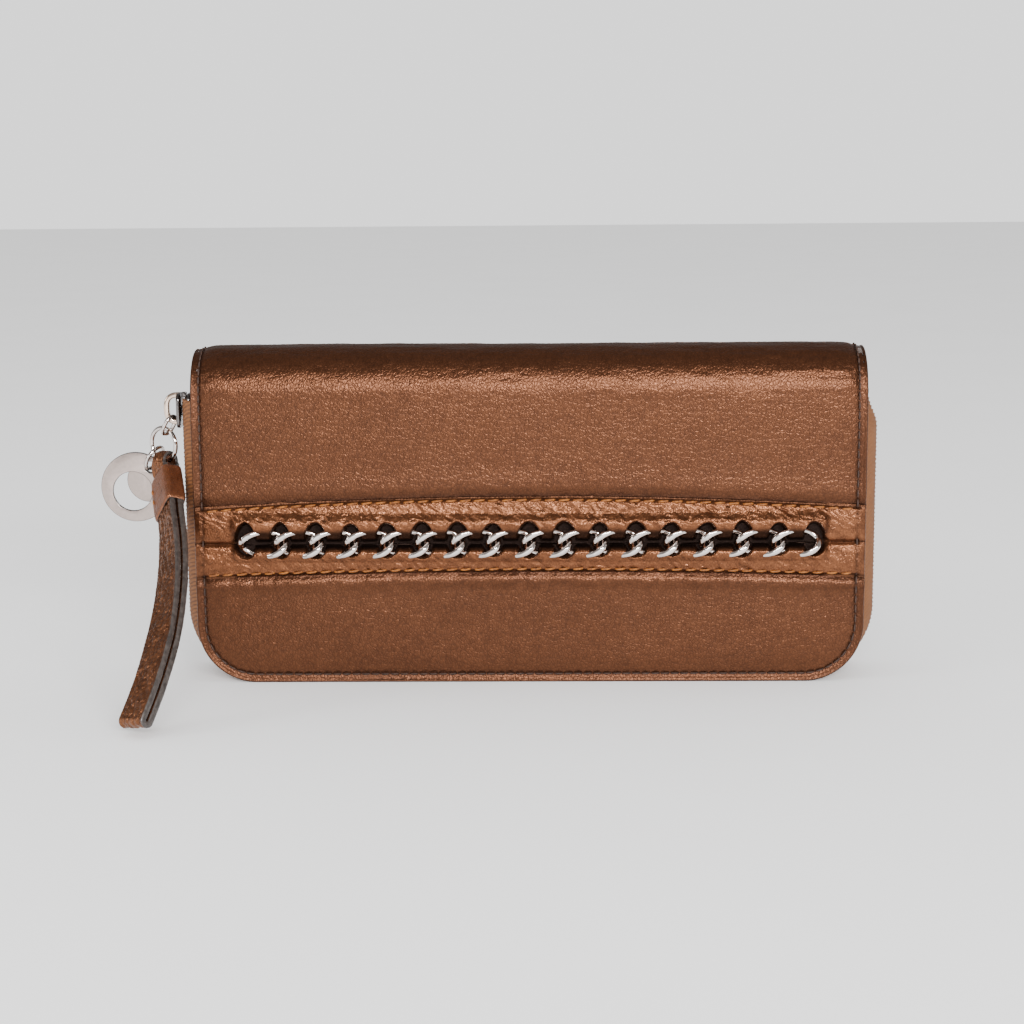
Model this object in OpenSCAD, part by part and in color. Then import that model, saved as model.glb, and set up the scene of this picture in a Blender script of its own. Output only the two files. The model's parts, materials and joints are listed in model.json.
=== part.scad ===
// Zip-around chain wallet, standing on its zip edge with the spine on top.
// X runs along the length, Y from the front cover (-Y) to the back cover (+Y), Z up.
// The origin is the middle of the zip edge that the wallet rests on.

/* [Wallet] */
// Length of the covers along X
wallet_w = 192; // [186:1:198]
// Height from the zip edge to the top of the spine
wallet_h = 97; // [95:1:101]
// Thickness over both covers
wallet_t = 26; // [26:1:28]
// Radius of the two lower corners of a cover
corner_r = 17; // [15:1:19]

/* [Leather and lining] */
// Thickness of the outer leather
leather_t = 1.3; // [1:0.1:1.4]
// Thickness of the stiffening board
board_t = 0.8; // [0.6:0.1:0.9]
// Thickness of the inner lining
lining_t = 0.6; // [0.4:0.1:0.7]

/* [Inside] */
// Thickness of one card pocket ply
pocket_t = 0.55; // [0.4:0.05:0.6]
// Step between the mouths of two card pockets
pocket_step = 10; // [8:1:11]
// Inside thickness of the coin pocket
coin_gap = 4.6; // [4.5:0.1:5]
// Thickness of a coin pocket wall
coin_wall = 0.8; // [0.6:0.1:0.9]

/* [Zip] */
// Thickness of the closed zip coil
coil_t = 1.4; // [1.2:0.1:1.5]
// How far the coil stands out beside the covers
zip_bulge = 4.3; // [4:0.1:4.5]
// Thickness of the zip tape
tape_t = 0.8; // [0.6:0.1:0.8]
// Length of the main slider
slider_l = 10; // [8:0.5:11]

/* [Chain band] */
// Height of the middle of the band
band_z = 41; // [39:1:43]
// Height of the band between its two stitch rows
band_h = 20; // [18:1:22]
// Length of the slot that shows the chain
slot_w = 169; // [165:1:173]
// Height of the slot
slot_h = 9.6; // [9.2:0.1:10.5]
// Links in the chain
link_count = 16; // [12:1:16]
// Distance from one link to the next
link_pitch = 10.15; // [9.8:0.05:10.3]
// Thickness of the chain wire
link_wire = 1.9; // [1.6:0.1:2]

/* [Strap and charms] */
// Width of the wrist strap
strap_w = 10; // [8:0.5:10.5]
// Thickness of one strap layer
strap_t = 2; // [1.6:0.1:2]
// Radius of the larger, ring-shaped charm
ring_charm_r = 10.3; // [9:0.1:10.5]
// Radius of the smaller, disc-shaped charm
disc_charm_r = 6.5; // [5.5:0.1:7]

/* [Hidden] */
$fn = 96;

// Colours
bronze = [0.42, 0.25, 0.16];
dark_bronze = [0.30, 0.18, 0.12];
lining_brown = [0.33, 0.22, 0.17];
tape_gold = [0.60, 0.38, 0.16];
board_grey = [0.55, 0.50, 0.45];
steel = [0.72, 0.70, 0.68];
nickel = [0.80, 0.73, 0.70];

// Levels through the thickness, from the outer face inwards
half_t = wallet_t / 2;
board_y = half_t - leather_t;
lining_y = board_y - board_t;
pocket_y = lining_y - lining_t;
shoulder_z = wallet_h - half_t;
spine_r = half_t;

// Card pockets on each cover
pocket_count = 4;

// Inset of each layer from the cover's edge
board_inset = 1;
lining_inset = 2.2;
pocket_inset = 5;
pocket_top = shoulder_z - 4;
pocket_mouth = 14;

// Curb chain: half length, half height, twist and squareness of a link, and its facets
link_a = 6.4;
link_b = (8.9 - link_wire) / 2;
link_twist = 45;
link_square = 0.85;
link_steps = 28;
link_sides = 8;
chain_y = -half_t - 0.3;

// Zip run: a U of coil around both sides and the zip edge
coil_x = wallet_w / 2 + zip_bulge;
coil_corner = corner_r + 3;
coil_gap = 0.25;
coil_half = 1.5;
coil_top = shoulder_z - 2.2;
stop_gap = 0.2;
stop_h = 1.6;
tape_steps = 6;
arc_steps = 10;

// Main slider, near the closed end of the zip on the left
slider_z = 78.2;
slider_half_w = 4;
slider_slot = 2.2;
slider_plate = 0.9;
web_t = 0.3;
web_l = 3;
coil_mid_x = coil_x - coil_t / 2;
arch_out = 4.2;
arch_l = 9.4;
arch_wire = 1.2;
arch_w = 2;
arch_corner = 2.6;
plate_out_x = coil_mid_x + slider_slot / 2 + slider_plate;
arch_z = slider_z + 0.5;

// Small rings under the slider
link_gap_w = 3.4;
link_wire_t = 1.1;
ring_r = 4.9;
ring_wire = 1.3;
spin = -25;
hang = [-plate_out_x - 1.5, 0, arch_z - arch_l / 2 + arch_wire + link_wire_t / 2 + 0.6];
link_len = 5.9;
link_tilt = 28;
ring_yaw = -35;
ring_lean = 20;
ring_lift = 1.6;
link_dir = [-sin(link_tilt), 0, -cos(link_tilt)];
ring_top = hang + (link_len - ring_lift) * link_dir;
e_dir = [cos(ring_yaw), sin(ring_yaw), 0];
up = [0, 0, 1];
ring_c = ring_top - ring_r * (sin(ring_lean) * e_dir + cos(ring_lean) * up);
strap_angle = 5;
strap_top = ring_c + ring_r * (sin(strap_angle) * e_dir - cos(strap_angle) * up);

// Charm link and charms, on the ring's far side from the wallet
charm_angle = 65;
charm_dir = -sin(charm_angle) * e_dir - cos(charm_angle) * up;
charm_in = 1.9;
charm_top = ring_c + (ring_r - charm_in) * charm_dir;
charm_len = 7.5;
charm_back = 26;
charm_tilt = 22;
charm_hang = [-cos(charm_back) * sin(charm_tilt), sin(charm_back), -cos(charm_back) * cos(charm_tilt)];
charm_foot = charm_top + charm_len * charm_hang;
charm_t = 1.1;
charm_hole = 1.7;
ring_charm_hole_d = 7.4;
ring_charm_in = 5.8;
ring_charm_shift = 1.6;
disc_charm_hole_d = 4.1;
ring_charm_lean = 38;
disc_charm_lean = 12;
charm_y_gap = 0.3;
charm_forward = 0.45;
charm_gap_w = 5.6;

// Wrist strap: a closed loop of flat strap along a cubic curve
strap_mid = [-106.5, -2, 52.5];
strap_fore = [-90, -42, 38];
strap_end = [-103, -67.5, 4.3];
strap_gap = 0.5;
loop_r = 2.5;
loop_half_w = 2.4;
loop_t = 1.2;
leg_steps = 18;
fold_steps = 8;
keeper_first = 2;
keeper_last = 6;
keeper_t = 0.9;
keeper_slack = 0.05;

// Coin pocket and its zip
coin_y = coin_gap / 2 + coin_wall;
coin_half_l = 88;
coin_mouth_z = 17;
coin_side = 1;
coin_coil_l = 160;
coin_coil_t = 1.4;
coin_coil_half = 1.4;
coin_tape_t = 0.6;
coin_slider_x = -70;
coin_slider_l = 7;
coin_slot = 2;
coin_plate = 0.7;
coin_lug_h = 2.6;
coin_zip_z = coin_mouth_z - coin_tape_t / 2;
ear_l = 2.4;
ear_t = 1;
ear_gap = 2.2;
pin_r = 0.4;
pin_clear = 0.05;
pin_drop = 1.5;
puller_l = 8.5;
puller_neck = 1.9;
puller_w = 4;
puller_t = 0.9;
puller_side = 0.15;
puller_pin_z = coin_zip_z - coin_slot / 2 - coin_plate - pin_drop;

// Side gussets: a V of lining cloth folded inwards
gusset_x = 90;
gusset_fold = 83;
gusset_t = 0.5;
gusset_z = 14;

// ---------- shared shapes ----------

// Outline of a cover in X and Z, seen from the front, inset from its edge
module cover_outline(inset, z_low, z_high) {
    r = corner_r - inset;
    half = wallet_w / 2 - inset;
    intersection() {
        union() {
            translate([-half, corner_r]) square([2 * half, shoulder_z - corner_r]);
            translate([-half + r, inset]) square([2 * (half - r), corner_r]);
            for (side = [-1, 1]) translate([side * (half - r), corner_r]) circle(r);
        }
        translate([-wallet_w, z_low]) square([2 * wallet_w, z_high - z_low]);
    }
}

// A flat layer of a cover between two Y levels
module layer(y_low, t, inset, z_low = 0, z_high = shoulder_z) {
    translate([0, y_low + t, 0]) rotate([90, 0, 0]) linear_extrude(t)
        cover_outline(inset, z_low, z_high);
}

// Stadium-shaped outline lying along X
module stadium(l, h) {
    square([l - h, h], center = true);
    for (side = [-1, 1]) translate([side * (l - h) / 2, 0]) circle(h / 2);
}

// Filled outline of the zip's U, inset from its outer edge
module zip_outline(inset) {
    r = coil_corner - inset;
    half = coil_x - inset;
    translate([-half, coil_corner]) square([2 * half, coil_top - coil_corner]);
    translate([-half + r, inset]) square([2 * (half - r), coil_corner]);
    for (side = [-1, 1]) translate([side * (half - r), coil_corner]) circle(r);
}

// One half of the zip coil, on the +Y side of the split
module coil() {
    translate([0, coil_half, 0]) rotate([90, 0, 0]) linear_extrude(coil_half - coil_gap)
        difference() {
            zip_outline(0);
            intersection() {
                union() {
                    zip_outline(coil_t);
                    translate([-coil_x + coil_t, coil_corner]) square([2 * (coil_x - coil_t), wallet_h]);
                }
                square([4 * coil_x, 4 * wallet_h], center = true);
            }
        }
}

// Points of a U path: down the left side, round both corners and up the right side.
// Each entry is [x, z, outward normal x, outward normal z].
function u_path(half, low, r, top) = concat(
    [[-half, top, -1, 0]],
    [for (i = [0 : arc_steps]) let (a = 180 + 90 * i / arc_steps)
        [-half + r + r * cos(a), low + r + r * sin(a), cos(a), sin(a)]],
    [for (i = [0 : arc_steps]) let (a = 270 + 90 * i / arc_steps)
        [half - r + r * cos(a), low + r + r * sin(a), cos(a), sin(a)]],
    [[half, top, 1, 0]]
);

// One half of the zip tape, curving out from inside the cover to the coil, on the +Y side
module tape() {
    edge = u_path(wallet_w / 2 - board_inset, board_inset, corner_r - board_inset, coil_top);
    run = u_path(coil_mid_x, coil_t / 2, coil_corner - coil_t / 2, coil_top);
    count = 2 * (tape_steps + 1);
    points = [for (i = [0 : len(edge) - 1], j = [0 : count - 1])
        let (
            step = j <= tape_steps ? j : count - 1 - j,
            s = step / tape_steps,
            side = j <= tape_steps ? tape_t / 2 : -tape_t / 2,
            lift = sin(90 * s),
            x = edge[i][0] + (run[i][0] - edge[i][0]) * lift + edge[i][2] * side,
            z = edge[i][1] + (run[i][1] - edge[i][1]) * lift + edge[i][3] * side
        ) [x, lining_y + (coil_half - lining_y) * s, z]];
    last = (len(edge) - 1) * count;
    faces = concat(
        [for (i = [0 : len(edge) - 2], j = [0 : count - 1])
            each halves(i * count + j, i * count + (j + 1) % count,
                (i + 1) * count + (j + 1) % count, (i + 1) * count + j)],
        [[for (j = [count - 1 : -1 : 0]) j]],
        [[for (j = [0 : count - 1]) last + j]]
    );
    polyhedron(points, faces, convexity = 4);
}

// Card pocket ply number i of a cover, on the +Y side, its mouth towards the zip edge
module pocket(i) {
    layer(pocket_y - (i + 1) * pocket_t, pocket_t, pocket_inset, pocket_mouth + i * pocket_step, pocket_top);
}

// Oval link of round wire in the YZ plane, hanging down from the middle of its upper bow
module oval_link(gap_w, l, wire) {
    r = (gap_w + wire) / 2;
    straight = l - 2 * r;
    translate([0, 0, -r]) {
        for (half = [0, 1])
            translate([0, 0, -half * straight]) rotate([90 + 180 * half, 0, 90])
                rotate_extrude(angle = 180) translate([r, 0]) circle(wire / 2);
        for (side = [-1, 1])
            translate([0, side * r, -straight]) cylinder(h = straight, r = wire / 2);
    }
}

// Closed rope of round wire through the given ring of points
module wire_loop(points, wire, sides) {
    n = len(points);
    frames = [for (i = [0 : n - 1])
        let (
            t = unit(points[(i + 1) % n] - points[(i + n - 1) % n]),
            a = unit(cross(t, [1, 0.3, 0.2])),
            b = cross(t, a)
        ) [a, b]];
    skin = [for (i = [0 : n - 1], j = [0 : sides - 1])
        points[i] + wire / 2 * (cos(360 * j / sides) * frames[i][0] - sin(360 * j / sides) * frames[i][1])];
    polyhedron(skin, loop_faces(n, sides), convexity = 6);
}

// The two triangles of a four-cornered face
function halves(a, b, c, d) = [[a, b, c], [a, c, d]];

// Faces of a closed tube of n rings with the given number of sides
function loop_faces(n, sides) = [for (i = [0 : n - 1], j = [0 : sides - 1])
    each halves(i * sides + j, i * sides + (j + 1) % sides,
        ((i + 1) % n) * sides + (j + 1) % sides, ((i + 1) % n) * sides + j)];

function unit(v) = v / norm(v);

// ---------- covers ----------

module front_upper_panel() {
    color(bronze) layer(-half_t, leather_t, 0, band_z + band_h / 2);
}

module front_lower_panel() {
    color(bronze) layer(-half_t, leather_t, 0, 0, band_z - band_h / 2);
}

// The slot through the band and the board behind it
module slot(extra = 0) {
    translate([0, half_t, band_z]) rotate([90, 0, 0]) linear_extrude(wallet_t + half_t)
        stadium(slot_w + extra, slot_h + extra);
}

module band_upper_flap() {
    color(bronze) difference() {
        layer(-half_t, leather_t, 0, band_z, band_z + band_h / 2);
        slot();
    }
}

module band_lower_flap() {
    color(bronze) difference() {
        layer(-half_t, leather_t, 0, band_z - band_h / 2, band_z);
        slot();
    }
}

module front_board() {
    color(board_grey) difference() {
        layer(-board_y, board_t, board_inset);
        slot(1);
    }
}

module front_lining() {
    color(lining_brown) layer(-lining_y, lining_t, lining_inset);
}

module back_panel() {
    color(bronze) layer(board_y, leather_t, 0);
}

module back_board() {
    color(board_grey) layer(lining_y, board_t, board_inset);
}

module back_lining() {
    color(lining_brown) layer(pocket_y, lining_t, lining_inset);
}

module front_card_pocket(i) {
    color(bronze) mirror([0, 1, 0]) pocket(i);
}

module back_card_pocket(i) {
    color(bronze) pocket(i);
}

// ---------- chain ----------

function soft(v) = sign(v) * pow(abs(v), link_square);

// Centre line of one twisted curb link whose middle is at x
function curb_link(x) = [for (i = [0 : link_steps - 1])
    let (
        t = 360 * (i + 0.5) / link_steps,
        c = soft(cos(t)),
        s = link_b * soft(sin(t)),
        turn = link_twist * c
    ) [x + link_a * c, chain_y + s * sin(turn), band_z + s * cos(turn)]];

module front_chain() {
    color(steel) for (i = [0 : link_count - 1])
        wire_loop(curb_link((i - (link_count - 1) / 2) * link_pitch), link_wire, link_sides);
}

// ---------- zip ----------

module front_zip_tape() {
    color(tape_gold) mirror([0, 1, 0]) tape();
}

module front_zip_coil() {
    color(tape_gold) mirror([0, 1, 0]) coil();
}

module back_zip_tape() {
    color(tape_gold) tape();
}

module back_zip_coil() {
    color(tape_gold) coil();
}

// A small metal stop above each end of the front coil
module zip_stops() {
    color(steel) for (side = [-1, 1])
        translate([side * coil_mid_x - coil_t / 2, -coil_half, coil_top + stop_gap])
            cube([coil_t, coil_half - coil_gap, stop_h]);
}

// Two plates either side of the coil, joined by a thin web in the gap between its halves
module slider_body() {
    color(steel) translate([-coil_mid_x, 0, slider_z]) {
        for (side = [-1, 1])
            translate([side * (slider_slot + slider_plate) / 2, 0, 0]) rotate([0, 90, 0])
                linear_extrude(slider_plate, center = true) stadium_plate(slider_l, 2 * slider_half_w, 2);
        cube([slider_slot + slider_plate, web_t, web_l], center = true);
    }
}

// Rectangle with round corners, in X and Y
module stadium_plate(l, w, r) {
    square([l - 2 * r, w], center = true);
    square([l, w - 2 * r], center = true);
    for (sx = [-1, 1], sy = [-1, 1])
        translate([sx * (l / 2 - r), sy * (w / 2 - r)]) circle(r);
}

// The arch that the rings hang from, standing on the slider's outer plate
module slider_arch() {
    color(nickel) translate([-plate_out_x, arch_w / 2, arch_z]) rotate([90, 0, 0]) linear_extrude(arch_w)
        intersection() {
            difference() {
                stadium_plate(2 * arch_out, arch_l, arch_corner);
                stadium_plate(2 * (arch_out - arch_wire), arch_l - 2 * arch_wire, arch_corner - arch_wire);
            }
            translate([-arch_out, -arch_l / 2]) square([arch_out, arch_l]);
        }
}

// ---------- spine ----------

// Upper half of a tube along X between two radii
module half_tube(r_out, r_in, l) {
    translate([-l / 2, 0, shoulder_z]) rotate([90, 0, 90]) linear_extrude(l)
        intersection() {
            difference() {
                circle(r_out);
                circle(r_in);
            }
            translate([-r_out, 0]) square([2 * r_out, r_out]);
        }
}

module spine_leather() {
    color(bronze) half_tube(spine_r, spine_r - leather_t, wallet_w);
}

module spine_lining() {
    color(lining_brown) half_tube(spine_r - leather_t, lining_y - lining_t / 2, wallet_w - 2 * board_inset);
}

// Half-round leather tabs that close the two ends of the spine
module spine_end_tabs() {
    color(dark_bronze) for (side = [-1, 1])
        translate([side * (wallet_w / 2 - board_inset - leather_t / 2), 0, shoulder_z]) rotate([90, 0, 90])
            linear_extrude(leather_t, center = true) intersection() {
                circle(lining_y - lining_t / 2);
                translate([-half_t, 0]) square([wallet_t, half_t]);
            }
}

// ---------- coin pocket ----------

// A flat bag with side walls, sewn to the spine lining and open towards the zip edge
module coin_pocket() {
    color(bronze) intersection() {
        difference() {
            translate([-coin_half_l, -coin_y, coin_mouth_z])
                cube([2 * coin_half_l, 2 * coin_y, wallet_h - coin_mouth_z]);
            translate([-coin_half_l + coin_side, -coin_gap / 2, 0])
                cube([2 * (coin_half_l - coin_side), coin_gap, shoulder_z]);
        }
        translate([-coin_half_l, 0, shoulder_z]) rotate([90, 0, 90]) linear_extrude(2 * coin_half_l) {
            circle(lining_y - lining_t / 2);
            translate([-half_t, -shoulder_z]) square([wallet_t, shoulder_z]);
        }
    }
}

module coin_zip_tape() {
    color(tape_gold) for (side = [-1, 1])
        translate([-coin_half_l, side > 0 ? coin_coil_half : -coin_y, coin_mouth_z - coin_tape_t])
            cube([2 * coin_half_l, coin_y - coin_coil_half, coin_tape_t]);
}

module coin_zip_coil() {
    color(tape_gold) for (side = [-1, 1])
        translate([-coin_coil_l / 2, side > 0 ? coil_gap : -coin_coil_half, coin_zip_z - coin_coil_t / 2])
            cube([coin_coil_l, coin_coil_half - coil_gap, coin_coil_t]);
}

// Two plates round the coin zip's coil, a web between them and a lug for the puller
module coin_slider() {
    lug_z = -(coin_slot / 2 + coin_plate);
    color(steel) translate([coin_slider_x, 0, coin_zip_z]) difference() {
        union() {
            translate([0, 0, -(coin_slot + coin_plate) / 2])
                linear_extrude(coin_plate, center = true) stadium_plate(coin_slider_l, 5.6, 1.2);
            translate([0, 0, (coin_slot + coin_plate) / 2])
                linear_extrude(coin_plate, center = true) stadium_plate(coin_slider_l, coin_gap - 0.6, 1.2);
            cube([web_l, web_t, coin_slot + coin_plate], center = true);
            for (side = [-1, 1])
                translate([-ear_l / 2, side * (ear_gap + ear_t) / 2 - ear_t / 2, lug_z - coin_lug_h])
                    cube([ear_l, ear_t, coin_lug_h]);
        }
        translate([0, 0, lug_z - pin_drop]) rotate([90, 0, 0])
            cylinder(h = 6, r = pin_r + pin_clear, center = true);
    }
}

// Flat tab on a pin between the coin slider's two ears
module coin_puller() {
    color(steel) translate([coin_slider_x, 0, puller_pin_z]) {
        rotate([90, 0, 0]) cylinder(h = ear_gap + 2 * ear_t - 0.2, r = pin_r, center = true);
        rotate([90, 0, 0]) cylinder(h = ear_gap - 3 * puller_side, r = 2 * pin_r, center = true);
        difference() {
            rotate([0, -90, 0]) linear_extrude(puller_t, center = true) {
                translate([-(puller_l + puller_neck) / 2, 0])
                    stadium_plate(puller_l - puller_neck, puller_w, 1.4);
                translate([-puller_neck - 1, -ear_gap / 2 + puller_side])
                    square([puller_neck + 1, ear_gap - 2 * puller_side]);
            }
            translate([0, 0, -puller_l + 2]) rotate([0, 90, 0]) cylinder(h = 4, r = 0.9, center = true);
        }
    }
}

// ---------- gussets ----------

// V-folded cloth between a card pocket and the coin pocket at each end, on the +Y side
module gussets() {
    inner = coin_y + 0.02;
    outer = pocket_y - pocket_count * pocket_t - 0.02;
    middle = (inner + outer) / 2;
    for (side = [0, 1])
        mirror([side, 0, 0]) translate([0, 0, gusset_z])
            linear_extrude(pocket_top - gusset_z)
                polygon([
                    [gusset_x - 2.5, inner], [gusset_x - 2.5 - gusset_t, inner], [gusset_fold, middle],
                    [gusset_x - 2.5 - gusset_t, outer], [gusset_x - 2.5, outer], [gusset_fold + gusset_t, middle]
                ]);
}

module front_gussets() {
    color(lining_brown) mirror([0, 1, 0]) gussets();
}

module back_gussets() {
    color(lining_brown) gussets();
}

// ---------- rings, strap and charms ----------

module connecting_link() {
    color(steel) translate(hang) rotate([0, link_tilt, 0]) rotate([0, 0, spin])
        oval_link(link_gap_w, link_len, link_wire_t);
}

module strap_ring() {
    color(steel) translate(ring_c) rotate([90, 0, ring_yaw])
        rotate_extrude() translate([ring_r, 0]) circle(ring_wire / 2);
}

module charm_link() {
    color(steel) translate(charm_top) rotate([charm_back, charm_tilt, 0]) rotate([0, 0, spin])
        oval_link(charm_gap_w, charm_len, link_wire_t);
}

// Flat ring, wider where it hangs, so that the opening sits low
module ring_charm() {
    color(nickel) translate([charm_foot[0], charm_foot[1] - charm_forward - charm_y_gap / 2, charm_foot[2] + 0.35])
        rotate([90, ring_charm_lean, 0]) linear_extrude(charm_t) difference() {
            union() {
                translate([0, -ring_charm_hole_d]) circle(ring_charm_r);
                circle(charm_hole + 1.5);
            }
            translate([0, -ring_charm_hole_d - ring_charm_shift]) circle(ring_charm_in);
            circle(charm_hole);
        }
}

// Small plain disc behind the ring-shaped charm
module disc_charm() {
    color(nickel) translate([charm_foot[0], charm_foot[1] - charm_forward + charm_y_gap / 2 + charm_t, charm_foot[2] + 0.35])
        rotate([90, disc_charm_lean, 0]) linear_extrude(charm_t) difference() {
            translate([0, -disc_charm_hole_d]) circle(disc_charm_r);
            circle(charm_hole);
        }
}

function bezier(s) = pow(1 - s, 3) * strap_top + 3 * s * pow(1 - s, 2) * strap_mid
    + 3 * s * s * (1 - s) * strap_fore + s * s * s * strap_end;
function bezier_dir(s) = unit(pow(1 - s, 2) * (strap_mid - strap_top)
    + 2 * s * (1 - s) * (strap_fore - strap_mid) + s * s * (strap_end - strap_fore));
// How far the strap is turned about its own length: most where it leaves the ring
function strap_turn(s) = s < 0.1 ? 35 + 270 * s : s < 0.4 ? 62 : 62 - 24 * min(1, (s - 0.4) / 0.4);
function strap_half_w(s) = loop_half_w + (strap_w / 2 - loop_half_w) * min(1, 8 * s);
function strap_half_gap(s) = let (flat = (strap_t + strap_gap) / 2)
    s < 0.1 ? flat + (loop_r - flat) * cos(900 * s) : flat;
function layer_t(s) = s < 0.1 ? loop_t + (strap_t - loop_t) * s * 10 : strap_t;
// Frame of the strap at s: [point, along, across, out of its front face]
function strap_frame(s) = let (
        t = bezier_dir(s),
        a = unit([1, 0, 0] - t[0] * t),
        b = cross(t, a),
        w = cos(strap_turn(s)) * a + sin(strap_turn(s)) * b
    ) [bezier(s), t, w, cross(w, t)];
// Cross-section corners of the strip at p, with the strip's own outward normal n
function strip(p, w, n, half_w, t) = [
    p - half_w * w - t / 2 * n, p + half_w * w - t / 2 * n,
    p + half_w * w + t / 2 * n, p - half_w * w + t / 2 * n
];

module wrist_strap() {
    front = [for (i = [0 : leg_steps]) let (s = i / leg_steps, f = strap_frame(s))
        each strip(f[0] + strap_half_gap(s) * f[3], f[2], f[3], strap_half_w(s), layer_t(s))];
    fold = [for (i = [1 : fold_steps - 1]) let (a = 180 * i / fold_steps, f = strap_frame(1),
            n = cos(a) * f[3] + sin(a) * f[1])
        each strip(f[0] + strap_half_gap(1) * n, f[2], n, strap_half_w(1), layer_t(1))];
    rear = [for (i = [leg_steps : -1 : 0]) let (s = i / leg_steps, f = strap_frame(s))
        each strip(f[0] - strap_half_gap(s) * f[3], f[2], -f[3], strap_half_w(s), layer_t(s))];
    bow = [for (i = [1 : fold_steps - 1]) let (a = 180 * i / fold_steps, f = strap_frame(0),
            n = -cos(a) * f[3] - sin(a) * f[1])
        each strip(f[0] + strap_half_gap(0) * n, f[2], n, strap_half_w(0), layer_t(0))];
    points = concat(front, fold, rear, bow);
    color(dark_bronze) polyhedron(points, loop_faces(len(points) / 4, 4), convexity = 6);
}

// A leather band round both strap layers
module strap_keeper() {
    half_y = strap_half_gap(1) + strap_t / 2;
    count = keeper_last - keeper_first;
    function box_at(s, grow) = let (f = strap_frame(s), h = half_y + grow, w = strap_w / 2 + grow)
        [f[0] - w * f[2] - h * f[3], f[0] + w * f[2] - h * f[3],
         f[0] + w * f[2] + h * f[3], f[0] - w * f[2] + h * f[3]];
    rings = [for (i = [keeper_first : keeper_last])
        each concat(box_at(i / leg_steps, keeper_t), box_at(i / leg_steps, keeper_slack))];
    faces = concat(
        [for (i = [0 : count - 1], j = [0 : 3])
            each halves(i * 8 + j, i * 8 + (j + 1) % 4, (i + 1) * 8 + (j + 1) % 4, (i + 1) * 8 + j)],
        [for (i = [0 : count - 1], j = [0 : 3])
            each halves(i * 8 + 4 + (j + 1) % 4, i * 8 + 4 + j, (i + 1) * 8 + 4 + j, (i + 1) * 8 + 4 + (j + 1) % 4)],
        [for (j = [0 : 3]) each halves((j + 1) % 4, j, 4 + j, 4 + (j + 1) % 4)],
        [for (j = [0 : 3])
            each halves(count * 8 + j, count * 8 + (j + 1) % 4, count * 8 + 4 + (j + 1) % 4, count * 8 + 4 + j)]
    );
    color(bronze) polyhedron(rings, faces, convexity = 4);
}

front_upper_panel();
front_lower_panel();
band_upper_flap();
band_lower_flap();
front_chain();
front_board();
front_lining();
front_card_pocket(0);  // front_card_pocket_1
front_card_pocket(1);  // front_card_pocket_2
front_card_pocket(2);  // front_card_pocket_3
front_card_pocket(3);  // front_card_pocket_4
front_zip_tape();
front_zip_coil();
zip_stops();
spine_leather();
spine_lining();
spine_end_tabs();
coin_pocket();
coin_zip_tape();
coin_zip_coil();
coin_slider();
coin_puller();
front_gussets();
back_gussets();
back_panel();
back_board();
back_lining();
back_card_pocket(0);  // back_card_pocket_1
back_card_pocket(1);  // back_card_pocket_2
back_card_pocket(2);  // back_card_pocket_3
back_card_pocket(3);  // back_card_pocket_4
back_zip_tape();
back_zip_coil();
slider_body();
slider_arch();
connecting_link();
strap_ring();
wrist_strap();
strap_keeper();
charm_link();
ring_charm();
disc_charm();
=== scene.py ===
"""Looks of the chain wallet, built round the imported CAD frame.

Lengths inside this script are millimetres in the frame's axes: X along the length, -Y out of the
chain side, +Z up to the spine. They become metres when a mesh is made.
"""

import json
import math

import bmesh
import bpy
import numpy as np
from mathutils import Matrix, Vector

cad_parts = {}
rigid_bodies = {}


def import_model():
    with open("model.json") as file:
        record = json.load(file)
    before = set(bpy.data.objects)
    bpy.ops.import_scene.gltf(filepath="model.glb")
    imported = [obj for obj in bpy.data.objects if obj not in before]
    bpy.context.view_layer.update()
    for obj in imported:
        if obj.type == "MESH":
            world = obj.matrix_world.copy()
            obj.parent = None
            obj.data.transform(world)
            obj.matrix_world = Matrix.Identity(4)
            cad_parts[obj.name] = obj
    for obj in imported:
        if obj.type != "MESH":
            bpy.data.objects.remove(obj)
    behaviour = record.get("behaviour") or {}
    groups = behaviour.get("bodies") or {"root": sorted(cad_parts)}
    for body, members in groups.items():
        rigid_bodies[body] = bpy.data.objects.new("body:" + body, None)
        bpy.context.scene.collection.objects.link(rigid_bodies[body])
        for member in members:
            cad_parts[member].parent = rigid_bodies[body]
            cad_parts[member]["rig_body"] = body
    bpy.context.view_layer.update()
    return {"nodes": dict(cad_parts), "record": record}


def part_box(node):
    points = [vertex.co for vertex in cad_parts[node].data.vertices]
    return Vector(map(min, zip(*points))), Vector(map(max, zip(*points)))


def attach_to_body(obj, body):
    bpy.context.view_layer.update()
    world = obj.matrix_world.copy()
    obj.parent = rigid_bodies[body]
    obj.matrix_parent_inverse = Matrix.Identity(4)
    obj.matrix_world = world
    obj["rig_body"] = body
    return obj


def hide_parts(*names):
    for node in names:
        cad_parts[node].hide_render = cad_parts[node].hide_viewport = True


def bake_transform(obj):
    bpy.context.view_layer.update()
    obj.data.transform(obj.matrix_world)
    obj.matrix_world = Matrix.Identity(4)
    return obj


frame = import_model()
MM = 0.001


def node_box(name):
    """Lowest and highest corner of a CAD node in millimetres."""
    lo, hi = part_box(name)
    return np.array(lo) / MM, np.array(hi) / MM


# ---------- sizes taken from the frame ----------

PANEL_LO, PANEL_HI = node_box("back_panel")
HALF_W = PANEL_HI[0]
HALF_T = PANEL_HI[1]
SHOULDER = PANEL_HI[2]
LEATHER_T = PANEL_HI[1] - PANEL_LO[1]
SPINE_R = node_box("spine_leather")[1][2] - SHOULDER
CORNER_R = 17.0
QUARTER = SPINE_R * math.pi / 2
TOP_T = SHOULDER + QUARTER
SEAM_HI = node_box("front_upper_panel")[0][2]
SEAM_LO = node_box("front_lower_panel")[1][2]
BAND_Z = (SEAM_HI + SEAM_LO) / 2

# ---------- the camera comes first ----------

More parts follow.
